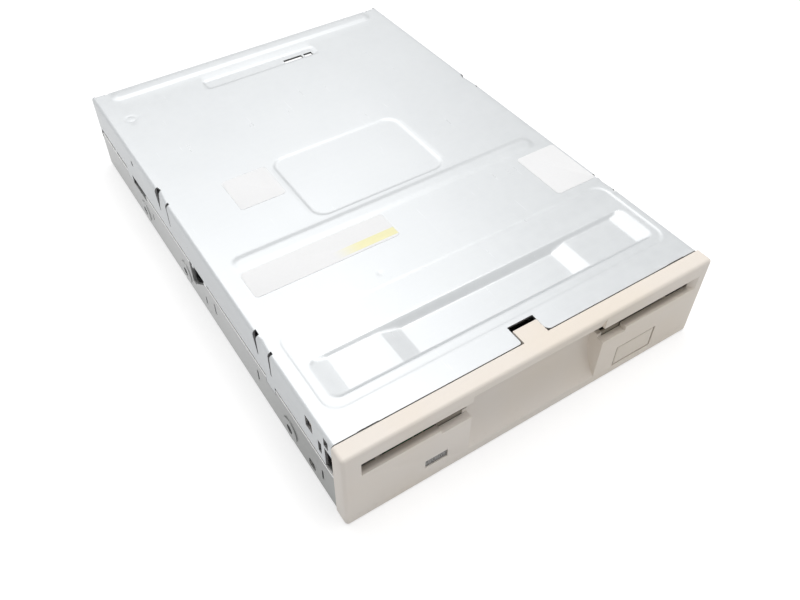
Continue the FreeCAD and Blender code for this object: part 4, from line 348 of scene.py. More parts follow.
class Finish(Nodes):
    """A finish: one Principled shader, fed by patterns in millimetres on the piece."""

    def __init__(self, name, **constants):
        self.material = bpy.data.materials.new(name)
        self.material.use_nodes = True
        super().__init__(self.material.node_tree)
        self.shader = self.add("ShaderNodeBsdfPrincipled", {}, {
            key.replace("_", " ").title().replace("Ior", "IOR"): value
            for key, value in constants.items()})
        self.add("ShaderNodeOutputMaterial", {}, {"Surface": self.shader.outputs[0]})
        coordinates = self.add("ShaderNodeTexCoord").outputs["Object"]
        self.here = self.add("ShaderNodeVectorMath", {"operation": "SCALE"},
                             {0: coordinates, "Scale": 1.0 / MM}).outputs[0]
        self.x, self.y, self.z = self.split(self.here)

    def scaled(self, size, stretch):
        """The place on the piece, counted in sizes that are drawn out by stretch."""
        scale = [1.0 / (size * way) for way in stretch]
        return self.add("ShaderNodeMapping", {}, {"Vector": self.here, "Scale": scale}).outputs[0]

    def noise(self, size, stretch=(1, 1, 1), detail=2.0):
        """Soft lumps about size millimetres across, drawn out by stretch."""
        node = self.add("ShaderNodeTexNoise", {},
                        {"Vector": self.scaled(size, stretch), "Scale": 1.0, "Detail": detail})
        return Number(self, node.outputs[0])

    def cells(self, size, feature="F1", metric="EUCLIDEAN", stretch=(1, 1, 1), scatter=1.0):
        """Distance to scattered points about size millimetres apart, in cell widths."""
        node = self.add("ShaderNodeTexVoronoi", {"feature": feature, "distance": metric},
                        {"Vector": self.scaled(size, stretch), "Scale": 1.0, "Randomness": scatter})
        return Number(self, node.outputs["Distance"])

    def blend(self, share, first, second):
        """The first colour where share is 0, and the second where it is 1."""
        colours = [(*c, 1.0) if isinstance(c, tuple) else c for c in (first, second)]
        node = self.add("ShaderNodeMix", {"data_type": "RGBA"},
                        {0: share, 6: colours[0], 7: colours[1]})
        return node.outputs[2]

    def colour(self):
        """The colour that the finish has so far."""
        return self.shader.inputs["Base Color"].links[0].from_socket

    def feed(self, name, value):
        """Links a pattern to one of the shader's sockets."""
        self.tree.links.new(value.socket if isinstance(value, Number) else value,
                            self.shader.inputs[name])

    def raise_surface(self, height, depth):
        """Bumps the surface by a height from 0 to 1, times a depth in millimetres."""
        bump = self.add("ShaderNodeBump", {}, {"Height": height, "Distance": depth * MM})
        self.feed("Normal", bump.outputs[0])


class Maker(Nodes):
    """A Geometry Nodes tree with named sizes, which turns places or paths into a plain mesh."""

    def __init__(self, name, **sizes):
        group = bpy.data.node_groups.new(name, "GeometryNodeTree")
        super().__init__(group)
        group.interface.new_socket("Places", in_out="INPUT", socket_type="NodeSocketGeometry")
        for size in sizes:
            group.interface.new_socket(size, in_out="INPUT", socket_type="NodeSocketFloat")
        group.interface.new_socket("Finish", in_out="INPUT", socket_type="NodeSocketMaterial")
        group.interface.new_socket("Piece", in_out="OUTPUT", socket_type="NodeSocketGeometry")
        self.sizes = sizes
        self.given = self.add("NodeGroupInput").outputs

    def size(self, name):
        """One of the tree's sizes, for maths."""
        return Number(self, self.given[name])

    def spot(self):
        """The place of each point of a shape."""
        return self.add("GeometryNodeInputPosition").outputs[0]

    def named(self, name, kind="FLOAT_VECTOR"):
        """An attribute that the places carry."""
        return self.add("GeometryNodeInputNamedAttribute", {"data_type": kind},
                        {"Name": name}).outputs[0]

    def set_on_places(self, shape, **more):
        """A copy of a shape on each place, turned as the place says."""
        return self.add("GeometryNodeInstanceOnPoints", {},
                        {"Points": self.given["Places"], "Instance": shape,
                         "Rotation": self.named("turn"), **more}).outputs[0]

    def end(self, shape):
        """The tree's end: real geometry with its finish."""
        real = self.add("GeometryNodeRealizeInstances", {}, {0: shape})
        dressed = self.add("GeometryNodeSetMaterial", {},
                           {"Geometry": real.outputs[0], "Material": self.given["Finish"]})
        self.add("NodeGroupOutput", {}, {0: dressed.outputs[0]})

    def make(self, name, places, finish, **sizes):
        """Runs the tree on a mesh of places and gives back a plain mesh object."""
        source = new_object(name + "_places", places)
        modifier = source.modifiers.new("make", "NODES")
        modifier.node_group = self.tree
        values = {**self.sizes, **sizes, "Finish": finish.material}
        for item in self.tree.interface.items_tree:
            if item.in_out == "INPUT" and item.name in values:
                modifier[item.identifier] = values[item.name]
        ready = source.evaluated_get(bpy.context.evaluated_depsgraph_get())
        mesh = bpy.data.meshes.new_from_object(ready)
        bpy.data.objects.remove(source)
        return new_object(name, mesh)


DOWN = (math.pi, 0.0, 0.0)


def places(points, **attributes):
    """A mesh of loose points, in the drive's millimetres.

    An attribute is one vector for all the points, as a tuple, or a list with one for each.
    """
    mesh = bpy.data.meshes.new("places")
    mesh.from_pydata([place(*p) for p in points], [], [])
    for name, values in attributes.items():
        if isinstance(values, tuple):
            values = [values] * len(points)
        flat = [v for value in values for v in value]
        mesh.attributes.new(name, "FLOAT_VECTOR", "POINT").data.foreach_set("vector", flat)
    return mesh


def paths(*runs):
    """A mesh of paths. Each run is its points and its wire's radius, or one radius a point."""
    points, edges, gauges = [], [], []
    for run, gauge in runs:
        first = len(points)
        points += [place(*p) for p in run]
        edges += [(first + i, first + i + 1) for i in range(len(run) - 1)]
        gauges += gauge if isinstance(gauge, list) else [gauge] * len(run)
    mesh = bpy.data.meshes.new("paths")
    mesh.from_pydata(points, edges, [])
    gauge = mesh.attributes.new("gauge", "FLOAT", "POINT")
    gauge.data.foreach_set("value", [g * MM for g in gauges])
    return mesh


# Finishes

def metal(name, light, dark, roughness, brush, mark=0.3, cloud=16.0, metallic=0.85, depth=0.002):
    """Sheet or bar: a cloudy tone, marks that are drawn out along brush, and fine grit."""
    finish = Finish(name, metallic=metallic)
    tone = finish.noise(cloud, detail=3.0)
    marks = finish.noise(mark, brush, 3.0)
    grit = finish.noise(0.08)
    finish.feed("Base Color", finish.blend(tone * 0.6 + marks * 0.4, dark, light))
    finish.feed("Roughness", roughness + (tone - 0.5) * 0.12 + (marks - 0.5) * 0.16)
    finish.raise_surface(marks * 0.6 + grit * 0.4, depth)
    return finish


def cover_finish():
    """Galvanised sheet: pale, satin, with faint rolling marks, spangle and a few hairlines."""
    finish = Finish("cover_galvanised_sheet", metallic=0.47)
    tone = finish.noise(38.0, detail=2.0)
    spangle = finish.cells(2.6) * 0.5 + finish.noise(1.1) * 0.5
    rolling = finish.noise(0.5, (60, 1, 60), 2.0)
    hairline = finish.noise(0.32, (1, 45, 1), 1.0).over(0.71, 0.78)
    hairline = hairline * finish.noise(9.0).over(0.5, 0.62)
    base = finish.blend(tone * 0.55 + spangle * 0.25 + rolling * 0.2,
                        (0.54, 0.56, 0.575), (0.64, 0.66, 0.67))
    finish.feed("Base Color", finish.blend(hairline * 0.3, base, (0.9, 0.92, 0.94)))
    finish.feed("Roughness", 0.37 + (spangle - 0.5) * 0.12 + (rolling - 0.5) * 0.1 - hairline * 0.1)
    wave = finish.noise(24.0, detail=0.0)
    finish.raise_surface(rolling * 0.012 + spangle * 0.016 + wave * 0.6, 0.12)
    return finish


def frame_finish():
    """The frame's plated sheet: darker towards the front as a painted dark reflection, and with a
    painted highlight along its sheared edge at the seam.
    """
    finish = metal("frame_plated_sheet", (0.54, 0.545, 0.54), (0.38, 0.385, 0.385), 0.42,
                   brush=(1, 14, 1))
    # Painted dark reflection: the sheet is darker in patches towards the front
    dark_reflection = finish.y.under(*DARK_REFLECTION_Y) * (0.35 + finish.noise(12.0, (1, 2, 1), 3.0) * 0.5)
    body = finish.blend(dark_reflection, finish.colour(), (0.22, 0.225, 0.215))
    # Painted highlight along the sheet's top edge at the seam
    edge_highlight = finish.z.over(EDGE_HIGHLIGHT_LOW - 0.15, EDGE_HIGHLIGHT_LOW) * finish.z.under(EDGE_HIGHLIGHT_HIGH, EDGE_HIGHLIGHT_HIGH + 0.1)
    edge_highlight = edge_highlight * finish.x.size().over(FRAME_X - 0.3, FRAME_X)
    finish.feed("Base Color", finish.blend(edge_highlight, body, (0.95, 0.95, 0.94)))
    return finish


def edge_finish():
    """The cover's cut edges: bare steel where the zinc is sheared, darkened further as painted shade
    in the gaps.
    """
    finish = Finish("cover_cut_edge", metallic=0.7)
    streak = finish.noise(0.25, (1, 1, 6), 2.0)
    # Dark grey: partly bare steel, partly painted shade
    finish.feed("Base Color", finish.blend(streak, (0.20, 0.20, 0.205), (0.40, 0.40, 0.40)))
    finish.feed("Roughness", 0.5 + streak * 0.15)
    finish.raise_surface(streak, 0.01)
    return finish


def plastic(name, colour, roughness=0.5, texture=0.2, depth=0.012, tint=0.05):
    """Moulded plastic with a fine spark-eroded texture and a slightly uneven tone."""
    finish = Finish(name, ior=1.5)
    tone = finish.noise(22.0, detail=2.0)
    peaks = finish.cells(texture) * 0.5 + finish.noise(texture * 0.6) * 0.5
    low = tuple(c * (1 - tint) for c in colour)
    high = tuple(min(1.0, c * (1 + tint)) for c in colour)
    finish.feed("Base Color", finish.blend(tone * 0.75 + peaks * 0.25, low, high))
    finish.feed("Roughness", roughness + (peaks - 0.4) * 0.14 + (tone - 0.5) * 0.08)
    finish.raise_surface(peaks, depth)
    return finish


def ivory_finish(name, colour):
    """Ivory moulding: fine texture, a touch yellower in patches, darker in patches near its lower
    edge, and painted shade a little past the slot's mouth.
    """
    finish = Finish(name, ior=1.49)
    patches = finish.noise(30.0, detail=3.0)
    peaks = finish.cells(0.24) * 0.55 + finish.noise(0.12) * 0.45
    warm = tuple(c * k for c, k in zip(colour, (1.0, 0.975, 0.93)))
    base = finish.blend(patches.over(0.35, 0.7), colour, warm)
    # Darker in patches towards the bottom
    low_patches = finish.noise(1.6, detail=4.0).over(0.55, 0.75) * finish.z.under(1.0, 7.0)
    base = finish.blend(low_patches * 0.18, base, (0.48, 0.44, 0.39))
    # Painted shade a little past the slot's mouth, inside the slot
    slot_shade = finish.y.over(FRONT + 0.3 - MIDDLE_Y, FRONT + 1.2 - MIDDLE_Y)
    slot_shade = slot_shade * finish.z.over(SLOT_BOTTOM - 0.3, SLOT_BOTTOM)
    slot_shade = slot_shade * finish.z.under(SLOT_TOP, SLOT_TOP + 0.3)
    slot_shade = slot_shade * finish.x.size().under(SLOT_X, SLOT_X + 0.6)
    finish.feed("Base Color", finish.blend(slot_shade * 0.4, base, (0.24, 0.205, 0.16)))
    finish.feed("Roughness", 0.47 + (peaks - 0.4) * 0.16 + (patches - 0.5) * 0.1)
    finish.raise_surface(peaks, 0.014)
    return finish


def button_finish():
    """The button's ivory, with painted shade on its sides, which the bezel's window shades."""
    finish = ivory_finish("button_moulding", (0.765, 0.715, 0.65))
    shaded_sides = finish.y.over(FRONT + 0.16 - MIDDLE_Y, FRONT + 0.36 - MIDDLE_Y)
    # Painted shade on the button's sides behind its front
    finish.feed("Base Color", finish.blend(shaded_sides * 0.85, finish.colour(), (0.05, 0.043, 0.035)))
    return finish


def board_finish(name, tint, pitch):
    """Circuit board: solder resist over tracks that turn at right angles, and plated holes."""
    finish = Finish(name, ior=1.5, coat_roughness=0.2)
    near = finish.cells(pitch, "F1", "CHEBYCHEV", (1, 1.6, 1), 0.85)
    far = finish.cells(pitch, "F2", "CHEBYCHEV", (1, 1.6, 1), 0.85)
    track = (far - near).under(0.05, 0.09)
    weave = (finish.x.repeat(0.5) + finish.y.repeat(0.5)) * 1.6
    hole = finish.cells(pitch * 1.6, scatter=0.9)
    ring = hole.under(0.1, 0.115)
    bore = hole.under(0.05, 0.06)
    dark = tuple(c * 0.72 for c in tint)
    light = tuple(min(1.0, c * 1.9) for c in tint)
    base = finish.blend(weave * 0.35, tint, dark)
    base = finish.blend(track * 0.7, base, light)
    base = finish.blend(ring, base, (0.74, 0.73, 0.70))
    finish.feed("Base Color", finish.blend(bore, base, (0.03, 0.03, 0.03)))
    finish.feed("Metallic", ring * (1.0 - bore) * 0.9)
    finish.feed("Roughness", 0.34 + weave * 0.08 + ring * 0.05)
    finish.feed("Coat Weight", (1.0 - ring) * 0.35)
    finish.raise_surface(track * 0.7 + ring * 0.4 - bore, 0.03)
    return finish


def label_finish(name, band=None):
    """Bare label paper with fibres, and a tinted band across it if its corners are given."""
    finish = Finish(name, ior=1.5)
    fibres = finish.noise(0.35, (3, 1, 1), 3.0) * 0.5 + finish.noise(0.3, (1, 3, 1), 3.0) * 0.5
    base = finish.blend(fibres, (0.78, 0.785, 0.79), (0.84, 0.845, 0.85))
    if band:
        x0, fade, x1, front, rear = band
        y0, y1 = front - MIDDLE_Y, rear - MIDDLE_Y
        inside = finish.x.over(x0, fade) * finish.x.under(x1 - 0.2, x1)
        inside = inside * finish.y.over(y0, y0 + 0.2) * finish.y.under(y1 - 0.2, y1)
        base = finish.blend(inside * 0.85, base, (0.84, 0.80, 0.42))
    finish.feed("Base Color", base)
    finish.feed("Roughness", 0.48 + (fibres - 0.5) * 0.2)
    finish.raise_surface(fibres, 0.008)
    return finish


def lens_finish():
    """Smoke-grey window with fine upright ribs inside."""
    finish = Finish("smoke_window", ior=1.49, transmission_weight=0.25)
    rib = finish.x.repeat(0.5) * 4.0
    finish.feed("Base Color", finish.blend(rib, (0.20, 0.195, 0.19), (0.27, 0.265, 0.255)))
    finish.feed("Roughness", 0.22 + finish.noise(0.4) * 0.12)
    finish.raise_surface(rib, 0.015)
    return finish


def magnet_finish(name, colour):
    """Sintered ferrite: dark, dull and finely grained, with crystals whose glint is painted lighter
    into its colour.
    """
    finish = Finish(name, metallic=0.35)
    grain = finish.noise(0.16, detail=4.0)
    crystal_glint = finish.cells(0.5).under(0.12, 0.2)
    lighter = tuple(c * 1.6 for c in colour)
    base = finish.blend(grain, colour, lighter)
    # Painted glint: lighter colour at the crystals, which are also less rough
    finish.feed("Base Color", finish.blend(crystal_glint * 0.35, base, (0.32, 0.32, 0.34)))
    finish.feed("Roughness", 0.55 + grain * 0.2 - crystal_glint * 0.2)
    finish.raise_surface(grain, 0.012)
    return finish


def wire_finish():
    """Enamelled copper wire: clear brown lacquer over bright copper."""
    finish = Finish("enamelled_copper", metallic=0.8, coat_roughness=0.15, coat_weight=0.5)
    tone = finish.noise(1.8, detail=2.0)
    finish.feed("Base Color", finish.blend(tone, (0.55, 0.22, 0.09), (0.80, 0.40, 0.18)))
    finish.feed("Roughness", 0.24 + tone * 0.14)
    finish.raise_surface(finish.noise(0.2), 0.006)
    return finish


def link_finish():
    """Flexible link: amber film over copper tracks that run from board to board."""
    finish = Finish("amber_film", ior=1.6, coat_roughness=0.1, coat_weight=0.6)
    track = finish.x.repeat(1.0).over(0.22, 0.3)
    ripple = finish.noise(2.2, (1, 3, 1), 2.0)
    base = finish.blend(track, (0.46, 0.20, 0.04), (0.78, 0.47, 0.17))
    finish.feed("Base Color", finish.blend(ripple * 0.25, base, (0.30, 0.13, 0.03)))
    finish.feed("Roughness", 0.26 + ripple * 0.12)
    finish.feed("Metallic", track * 0.5)
    finish.raise_surface(track, 0.02)
    return finish


def solder_finish():
    """Dull bright solder."""
    finish = Finish("solder", metallic=0.9)
    grain = finish.noise(0.3, detail=3.0)
    finish.feed("Base Color", finish.blend(grain, (0.62, 0.63, 0.64), (0.80, 0.80, 0.80)))
    finish.feed("Roughness", 0.28 + grain * 0.2)
    finish.raise_surface(grain, 0.02)
    return finish


# Rods and posts: how their marks and tone differ from sheet
TURNED = {"mark": 0.25, "cloud": 4.0, "metallic": 1.0}

ivory = ivory_finish("ivory_moulding", (0.80, 0.745, 0.685))
# The bezel's ivory darkened as painted shade, for the walls behind the finger notches
shaded_ivory = ivory_finish("soiled_moulding", (0.30, 0.27, 0.225))
# The flap is the bezel's ivory plastic, darker as painted shade behind the slot
shaded_flap_ivory = ivory_finish("flap_moulding", (0.66, 0.61, 0.55))
button_ivory = button_finish()
galvanised = cover_finish()
cut_edge = edge_finish()
frame_sheet = frame_finish()
inner_sheet = metal("inner_plated_sheet", (0.76, 0.76, 0.75), (0.62, 0.625, 0.63), 0.34, (12, 1, 1))
shield_sheet = metal("shield_plated_sheet", (0.75, 0.76, 0.77), (0.60, 0.61, 0.62), 0.38, (14, 1, 1))
lamination = metal("stator_lamination", (0.42, 0.43, 0.45), (0.28, 0.29, 0.31), 0.42, (1, 1, 0.2),
                   mark=0.35)
along_y = metal("ground_rod", (0.82, 0.82, 0.83), (0.66, 0.66, 0.68), 0.2, (40, 0.5, 40), **TURNED)
along_x = metal("drawn_rod", (0.80, 0.80, 0.81), (0.62, 0.63, 0.65), 0.22, (0.5, 40, 40), **TURNED)
along_z = metal("turned_post", (0.80, 0.80, 0.81), (0.64, 0.64, 0.66), 0.22, (40, 40, 0.5), **TURNED)
spring_wire = metal("spring_wire", (0.64, 0.65, 0.67), (0.42, 0.43, 0.45), 0.26, (1, 1, 1),
                    cloud=3.0, metallic=1.0)
screw_steel = metal("zinc_plated_screw", (0.80, 0.79, 0.74), (0.60, 0.60, 0.58), 0.3, (1, 1, 1),
                    mark=0.4, cloud=3.0, metallic=1.0)
pin_plate = metal("plated_pin", (0.83, 0.76, 0.52), (0.70, 0.62, 0.40), 0.26, (1, 8, 1),
                  mark=0.2, cloud=3.0, metallic=1.0)
leg_plate = metal("tinned_leg", (0.80, 0.80, 0.80), (0.62, 0.63, 0.64), 0.3, (1, 1, 1),
                  cloud=3.0, metallic=1.0)
cast_zinc = metal("die_cast_zinc", (0.66, 0.665, 0.67), (0.50, 0.51, 0.52), 0.5, (1, 1, 1),
                  mark=0.5, cloud=6.0, metallic=0.8, depth=0.02)
bronze = metal("sintered_bronze", (0.66, 0.47, 0.25), (0.42, 0.29, 0.15), 0.48, (1, 1, 1),
               mark=0.2, cloud=4.0, metallic=0.9, depth=0.02)
black_plastic = plastic("black_moulding", (0.035, 0.035, 0.04), 0.46, 0.18, 0.01, 0.25)
chip_plastic = plastic("chip_moulding", (0.045, 0.045, 0.048), 0.55, 0.12, 0.008, 0.2)
white_plastic = plastic("natural_moulding", (0.78, 0.76, 0.71), 0.42, 0.3, 0.008)
grey_plastic = plastic("clip_moulding", (0.07, 0.07, 0.075), 0.5, 0.2, 0.01, 0.2)
lamp_plastic = plastic("diffused_lamp", (0.46, 0.66, 0.40), 0.3, 0.3, 0.006)
beige_ceramic = plastic("capacitor_body", (0.55, 0.43, 0.30), 0.45, 0.15, 0.006, 0.2)
motor_board = board_finish("motor_board_resist", (0.05, 0.20, 0.11), 3.4)
main_board = board_finish("main_board_resist", (0.04, 0.17, 0.10), 2.4)
hub_ferrite = magnet_finish("hub_ferrite", (0.07, 0.07, 0.075))
ring_ferrite = magnet_finish("ring_ferrite", (0.10, 0.095, 0.09))
head_ferrite = magnet_finish("head_ceramic", (0.06, 0.052, 0.05))
copper_wire = wire_finish()
film = link_finish()
solder = solder_finish()
window = lens_finish()
bare_label = label_finish("bare_label")
banded_label = label_finish("banded_label", LABEL_BAND)

DRESS = {
    frame_sheet: ["chassis", "stepper_motor"],
    shield_sheet: ["bottom_shield"],
    inner_sheet: ["slide_plate", "disk_carrier", "shutter_lever", "rotor_cup", "head_arm",
                  "stepper_bracket"],
    galvanised: ["top_cover"],
    ivory: ["front_bezel"],
    shaded_flap_ivory: ["slot_flap"],
    button_ivory: ["eject_button"],
    window: ["led_lens"],
    lamp_plastic: ["activity_led"],
    along_y: ["guide_rod", "lead_screw"],
    along_x: ["flap_rod", "carrier_rollers", "arm_pivot"],
    along_z: ["slide_guides", "disk_posts", "lever_pivot", "spindle_shaft", "spindle_hub",
              "drive_pin"],
    spring_wire: ["flap_spring", "eject_springs", "lever_spring", "arm_spring"],
    hub_ferrite: ["hub_magnet"],
    ring_ferrite: ["rotor_magnet"],
    head_ferrite: ["lower_head", "upper_head"],
    lamination: ["stator_core"],
    copper_wire: ["stator_coils"],
    bronze: ["bearing_housing"],
    motor_board: ["motor_board"],
    main_board: ["main_board"],
    chip_plastic: ["board_chips"],
    film: ["board_link"],
    black_plastic: ["data_connector", "track_sensor", "disk_switches"],
    grey_plastic: ["rod_clips"],
    white_plastic: ["power_connector", "write_plunger", "disk_plunger", "density_plunger"],
    pin_plate: ["data_pins", "power_pins"],
    cast_zinc: ["head_carriage"],
}


def dress_nodes():
    """Gives every solid of the frame its finish."""
    for finish, names in DRESS.items():
        for name in names:
            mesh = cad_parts[name].data
            mesh.materials.clear()
            mesh.materials.append(finish.material)


# Shaping

def finished(piece, body, slot, *nodes):
    """A piece's last step: it rides on its body and stands for its nodes, which are hidden. Its slot
    is not used.
    """
    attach(piece, body)
    if nodes:
        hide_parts(*nodes)


def solid_box(node):
    """A solid's lowest and highest corner, in the drive's millimetres."""
    return [(c.x / MM, c.y / MM + MIDDLE_Y, c.z / MM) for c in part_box(node)]


def smooth(mesh, angle=35.0):
    """Shades a mesh smooth, but for edges sharper than an angle in degrees."""
    mesh.shade_smooth()
    mesh.set_sharp_from_angle(angle=math.radians(angle))


def apply_modifiers(piece):
    """Turns a piece with modifiers into its plain result."""
    ready = piece.evaluated_get(bpy.context.evaluated_depsgraph_get())
    mesh = bpy.data.meshes.new_from_object(ready)
    piece.modifiers.clear()
    piece.data = mesh


def ease_edges(piece, width):
    """Rounds a piece's sharp edges a little."""
    bevel = piece.modifiers.new("ease", "BEVEL")
    bevel.width = width * MM
    bevel.segments = 2
    bevel.limit_method = "ANGLE"
    bevel.angle_limit = math.radians(40.0)
    apply_modifiers(piece)
    smooth(piece.data, 30.0)


def eased_copy(node, finish, width):
    """A copy of a moulded solid whose sharp edges are rounded a little."""
    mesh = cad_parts[node].data.copy()
    work = bmesh.new()
    work.from_mesh(mesh)
    bmesh.ops.remove_doubles(work, verts=work.verts, dist=0.002 * MM)
    bmesh.ops.dissolve_limit(work, angle_limit=math.radians(0.6), verts=work.verts, edges=work.edges)
    work.to_mesh(mesh)
    work.free()
    mesh.materials.clear()
    mesh.materials.append(finish.material)
    piece = new_object(node + "_moulded", mesh)
    ease_edges(piece, width)
    return piece


# The cover

def inside_rounded(x, y, edges, radius):
    """How far points are inside a rectangle with rounded corners: below 0 is outside."""
    x0, x1, y0, y1 = edges
    dx = np.abs(x - (x0 + x1) / 2) - (x1 - x0) / 2 + radius
    dy = np.abs(y - (y0 + y1) / 2) - (y1 - y0) / 2 + radius
    outside = np.hypot(np.maximum(dx, 0), np.maximum(dy, 0))
    return radius - outside - np.minimum(np.maximum(dx, dy), 0)


def slope(distance, width):
    """0 at an edge, rising to 1 over a width."""
    return np.clip(distance / width, 0, 1)


def sharp_height(x, y):
    """The height of the cover's presswork over its flat top, before its edges are softened."""
    z = np.zeros_like(x)
    for edges, radius, height, width in PRESSED:
        z += height * slope(inside_rounded(x, y, edges, radius), width)
    # The trough is as deep as its ends, its long walls and its corners all allow
    shelf, floor = TROUGH_SHELF, TROUGH_FLOOR
    lengthwise = np.interp(x, TROUGH_X, (0, shelf, shelf, floor, floor, shelf, shelf, 0))
    across = np.interp(y, TROUGH_Y, (0, floor, floor, 0))
    edges = (TROUGH_X[0], TROUGH_X[-1], TROUGH_Y[0], TROUGH_Y[-1])
    corner = floor * slope(inside_rounded(x, y, edges, TROUGH_CORNER), TROUGH_CORNER_SLOPE)
    z -= np.minimum(np.minimum(lengthwise, across), corner)
    mark_x, mark_y, radius, width, depth = RING_MARK
    z -= depth * slope(width - np.abs(np.hypot(x - mark_x, y - mark_y) - radius), width)
    mark_x, mark_y, radius, depth = PIN_MARK
    z -= depth * slope(radius - np.hypot(x - mark_x, y - mark_y), radius)
    return z


def press_height(x, y):
    """The presswork with its edges rounded over, as sheet is."""
    total, weight = np.zeros_like(x), 0.0
    for reach, share in ((0.0, 1.0), (0.2, 1.0), (0.4, 0.5)):
        turns = 8 if reach else 1
        for i in range(turns):
            angle = 2 * math.pi * i / turns
            total += share * sharp_height(x + reach * math.cos(angle), y + reach * math.sin(angle))
            weight += share
    return total / weight


def grid_lines(low, high, fixed, fine):
    """Lines from low to high, through the fixed ones, close together in the fine spans."""
    marks = sorted({low, high, *fixed, *(m for span in fine for m in span)})
    marks = [m for m in marks if low <= m <= high]
    lines = []
    for a, b in zip(marks, marks[1:]):
        middle = (a + b) / 2
        gap = FINE_STEP if any(s <= middle <= e for s, e in fine) else WIDE_STEP
        count = max(1, round((b - a) / gap))
        lines += [a + (b - a) * i / count for i in range(count)]
    return lines + [marks[-1]]


def beside(*edges):
    """Lines close to both sides of each pressed edge, so that it stays crisp."""
    return [edge + step for edge in edges for step in (-0.2, 0.0, 0.2, 0.4)]


def flat_reach(z):
    """How far from the middle of the flat blank a height on a side flange is."""
    return FLAT_X + BEND_LENGTH + COVER_TOP - BEND - z


def folded(s, edge):
    """Across the fold: how far out and how far down a point of the blank ends up."""
    if s <= edge:
        return s, 0.0
    if s <= edge + BEND_LENGTH:
        turn = (s - edge) / BEND
        return edge + BEND * math.sin(turn), BEND * (1 - math.cos(turn))
    return edge + BEND, BEND + s - edge - BEND_LENGTH


def rear_drop(t):
    """How far below the top a point of the rear flange is."""
    return t - FLAT_REAR - BEND_LENGTH + BEND


def top_keeps(s, t):
    """Whether the flat top has metal at a point of the blank."""
    return not any(a < s < b and c < t < d for a, b, c, d in TOP_OPENINGS)


def rear_keeps(side, t):
    """Whether the rear flange has metal: not at its end notches, nor at its wide opening."""
    drop = rear_drop(t)
    notch = abs(side - REAR_NOTCH_X) < REAR_NOTCH_HALF and drop < REAR_NOTCH_DROP
    return not notch and not (side < REAR_OPENING_X and COVER_TOP - drop < REAR_OPENING_TOP)


def side_keeps(side, t):
    """Whether a side flange has metal: not in the slits, the windows or the front cut."""
    if any(side < flat_reach(low) and y + a < t < y + b for y in LANCES for a, b, low, _ in SLITS):
        return False
    if side <= FLAT_X + BEND_LENGTH:
        return True
    z = COVER_TOP - BEND - (side - FLAT_X - BEND_LENGTH)
    if t < FRONT_CUT_REAR and z < FRONT_CUT_TOP:
        return False
    if any(a < t < b and c < z < d for a, b, c, d in SIDE_WINDOWS):
        return False
    seam = SEAM if t < SEAM_TABS[2][1] else RAISED_SEAM
    return z >= seam or any(a < t < b and z > low for a, b, low in SEAM_TABS)


def blank_keeps(s, t):
    """Whether the flat blank has metal at a point: s across it and t along it."""
    side = abs(s)
    if side <= FLAT_X:
        return rear_keeps(side, t) if t > FLAT_REAR else top_keeps(s, t)
    if t > FLAT_REAR:
        return t <= COVER_REAR - REAR_CORNER_GAP
    return side_keeps(side, t)


def blank_across():
    """The grid's lines across the blank, from the left flange's edge to the right one's."""
    heights = {SEAM, RAISED_SEAM, FRONT_CUT_TOP, *SIDE_LINES}
    heights |= {low for _, _, low in SEAM_TABS} | {low for _, _, low, _ in SLITS}
    heights |= {z for window in SIDE_WINDOWS for z in window[2:]}
    half = [flat_reach(z) for z in heights]
    half += [FLAT_X + BEND_LENGTH * i / BEND_STEPS for i in range(BEND_STEPS)]
    fixed = [x for opening in TOP_OPENINGS for x in opening[:2]]
    fixed += [way * x for way in (-1, 1) for x in (
        REAR_OPENING_X, REAR_NOTCH_X - REAR_NOTCH_HALF, REAR_NOTCH_X + REAR_NOTCH_HALF)]
    fixed += [x + way * radius * k / MOUTH_STEPS
              for x, way, radius in NOTCH_MOUTH for k in range(1, MOUTH_STEPS + 1)]
    fixed += beside(*PAN[:2], *TROUGH_X[1:-1])
    top = grid_lines(-FLAT_X, FLAT_X, fixed, FINE_X)
    return sorted({round(v, 5) for v in top + half + [-v for v in half]})


def blank_along():
    """The grid's lines along the blank, from its front edge to the rear flange's edge."""
    fixed = [y for front, rear, _ in SEAM_TABS for y in (front, rear)]
    fixed += [y for window in SIDE_WINDOWS for y in window[:2]]
    fixed += [y for opening in TOP_OPENINGS for y in opening[2:]]
    fixed += [y + v for y in LANCES for slit in SLITS for v in slit[:2]] + [FRONT_CUT_REAR]
    fixed += beside(*PAN[2:], *TROUGH_Y, *PANEL[2:])
    fixed += [COVER_FRONT + radius * k / MOUTH_STEPS
              for _, _, radius in NOTCH_MOUTH for k in range(1, MOUTH_STEPS + 1)]
    lines = grid_lines(COVER_FRONT, FLAT_REAR, fixed, FINE_Y)
    lines += [FLAT_REAR + BEND_LENGTH * i / BEND_STEPS for i in range(1, BEND_STEPS)]
    lines += [FLAT_REAR + BEND_LENGTH - BEND + drop for drop in (
        BEND, REAR_NOTCH_DROP, COVER_TOP - REAR_OPENING_TOP, COVER_TOP - SEAM)]
    return sorted({round(v, 5) for v in lines + [COVER_REAR - REAR_CORNER_GAP]})


def lanced(side, y):
    """At a lanced tab: how far its slits' taper moves a point along, and how far the tab leans in."""
    shift = lean = 0.0
    for lance in LANCES:
        past = y - lance
        for start, end, low, taper in SLITS:
            reach = flat_reach(low) - FLAT_X
            if 0 <= side <= reach and round(past - (start if taper > 0 else end), 4) == 0:
                shift += taper * (side / reach) ** SLIT_TAPER
        (_, free, low, _), (held, _, _, _) = SLITS
        if free <= past <= held and 0 <= side <= flat_reach(low) - FLAT_X:
            bow = max(0.0, 1 - abs(side - 1) / TAB_LEAN_REACH)
            lean = TAB_LEAN * bow * (past - free) / (held - free)
    return shift, lean


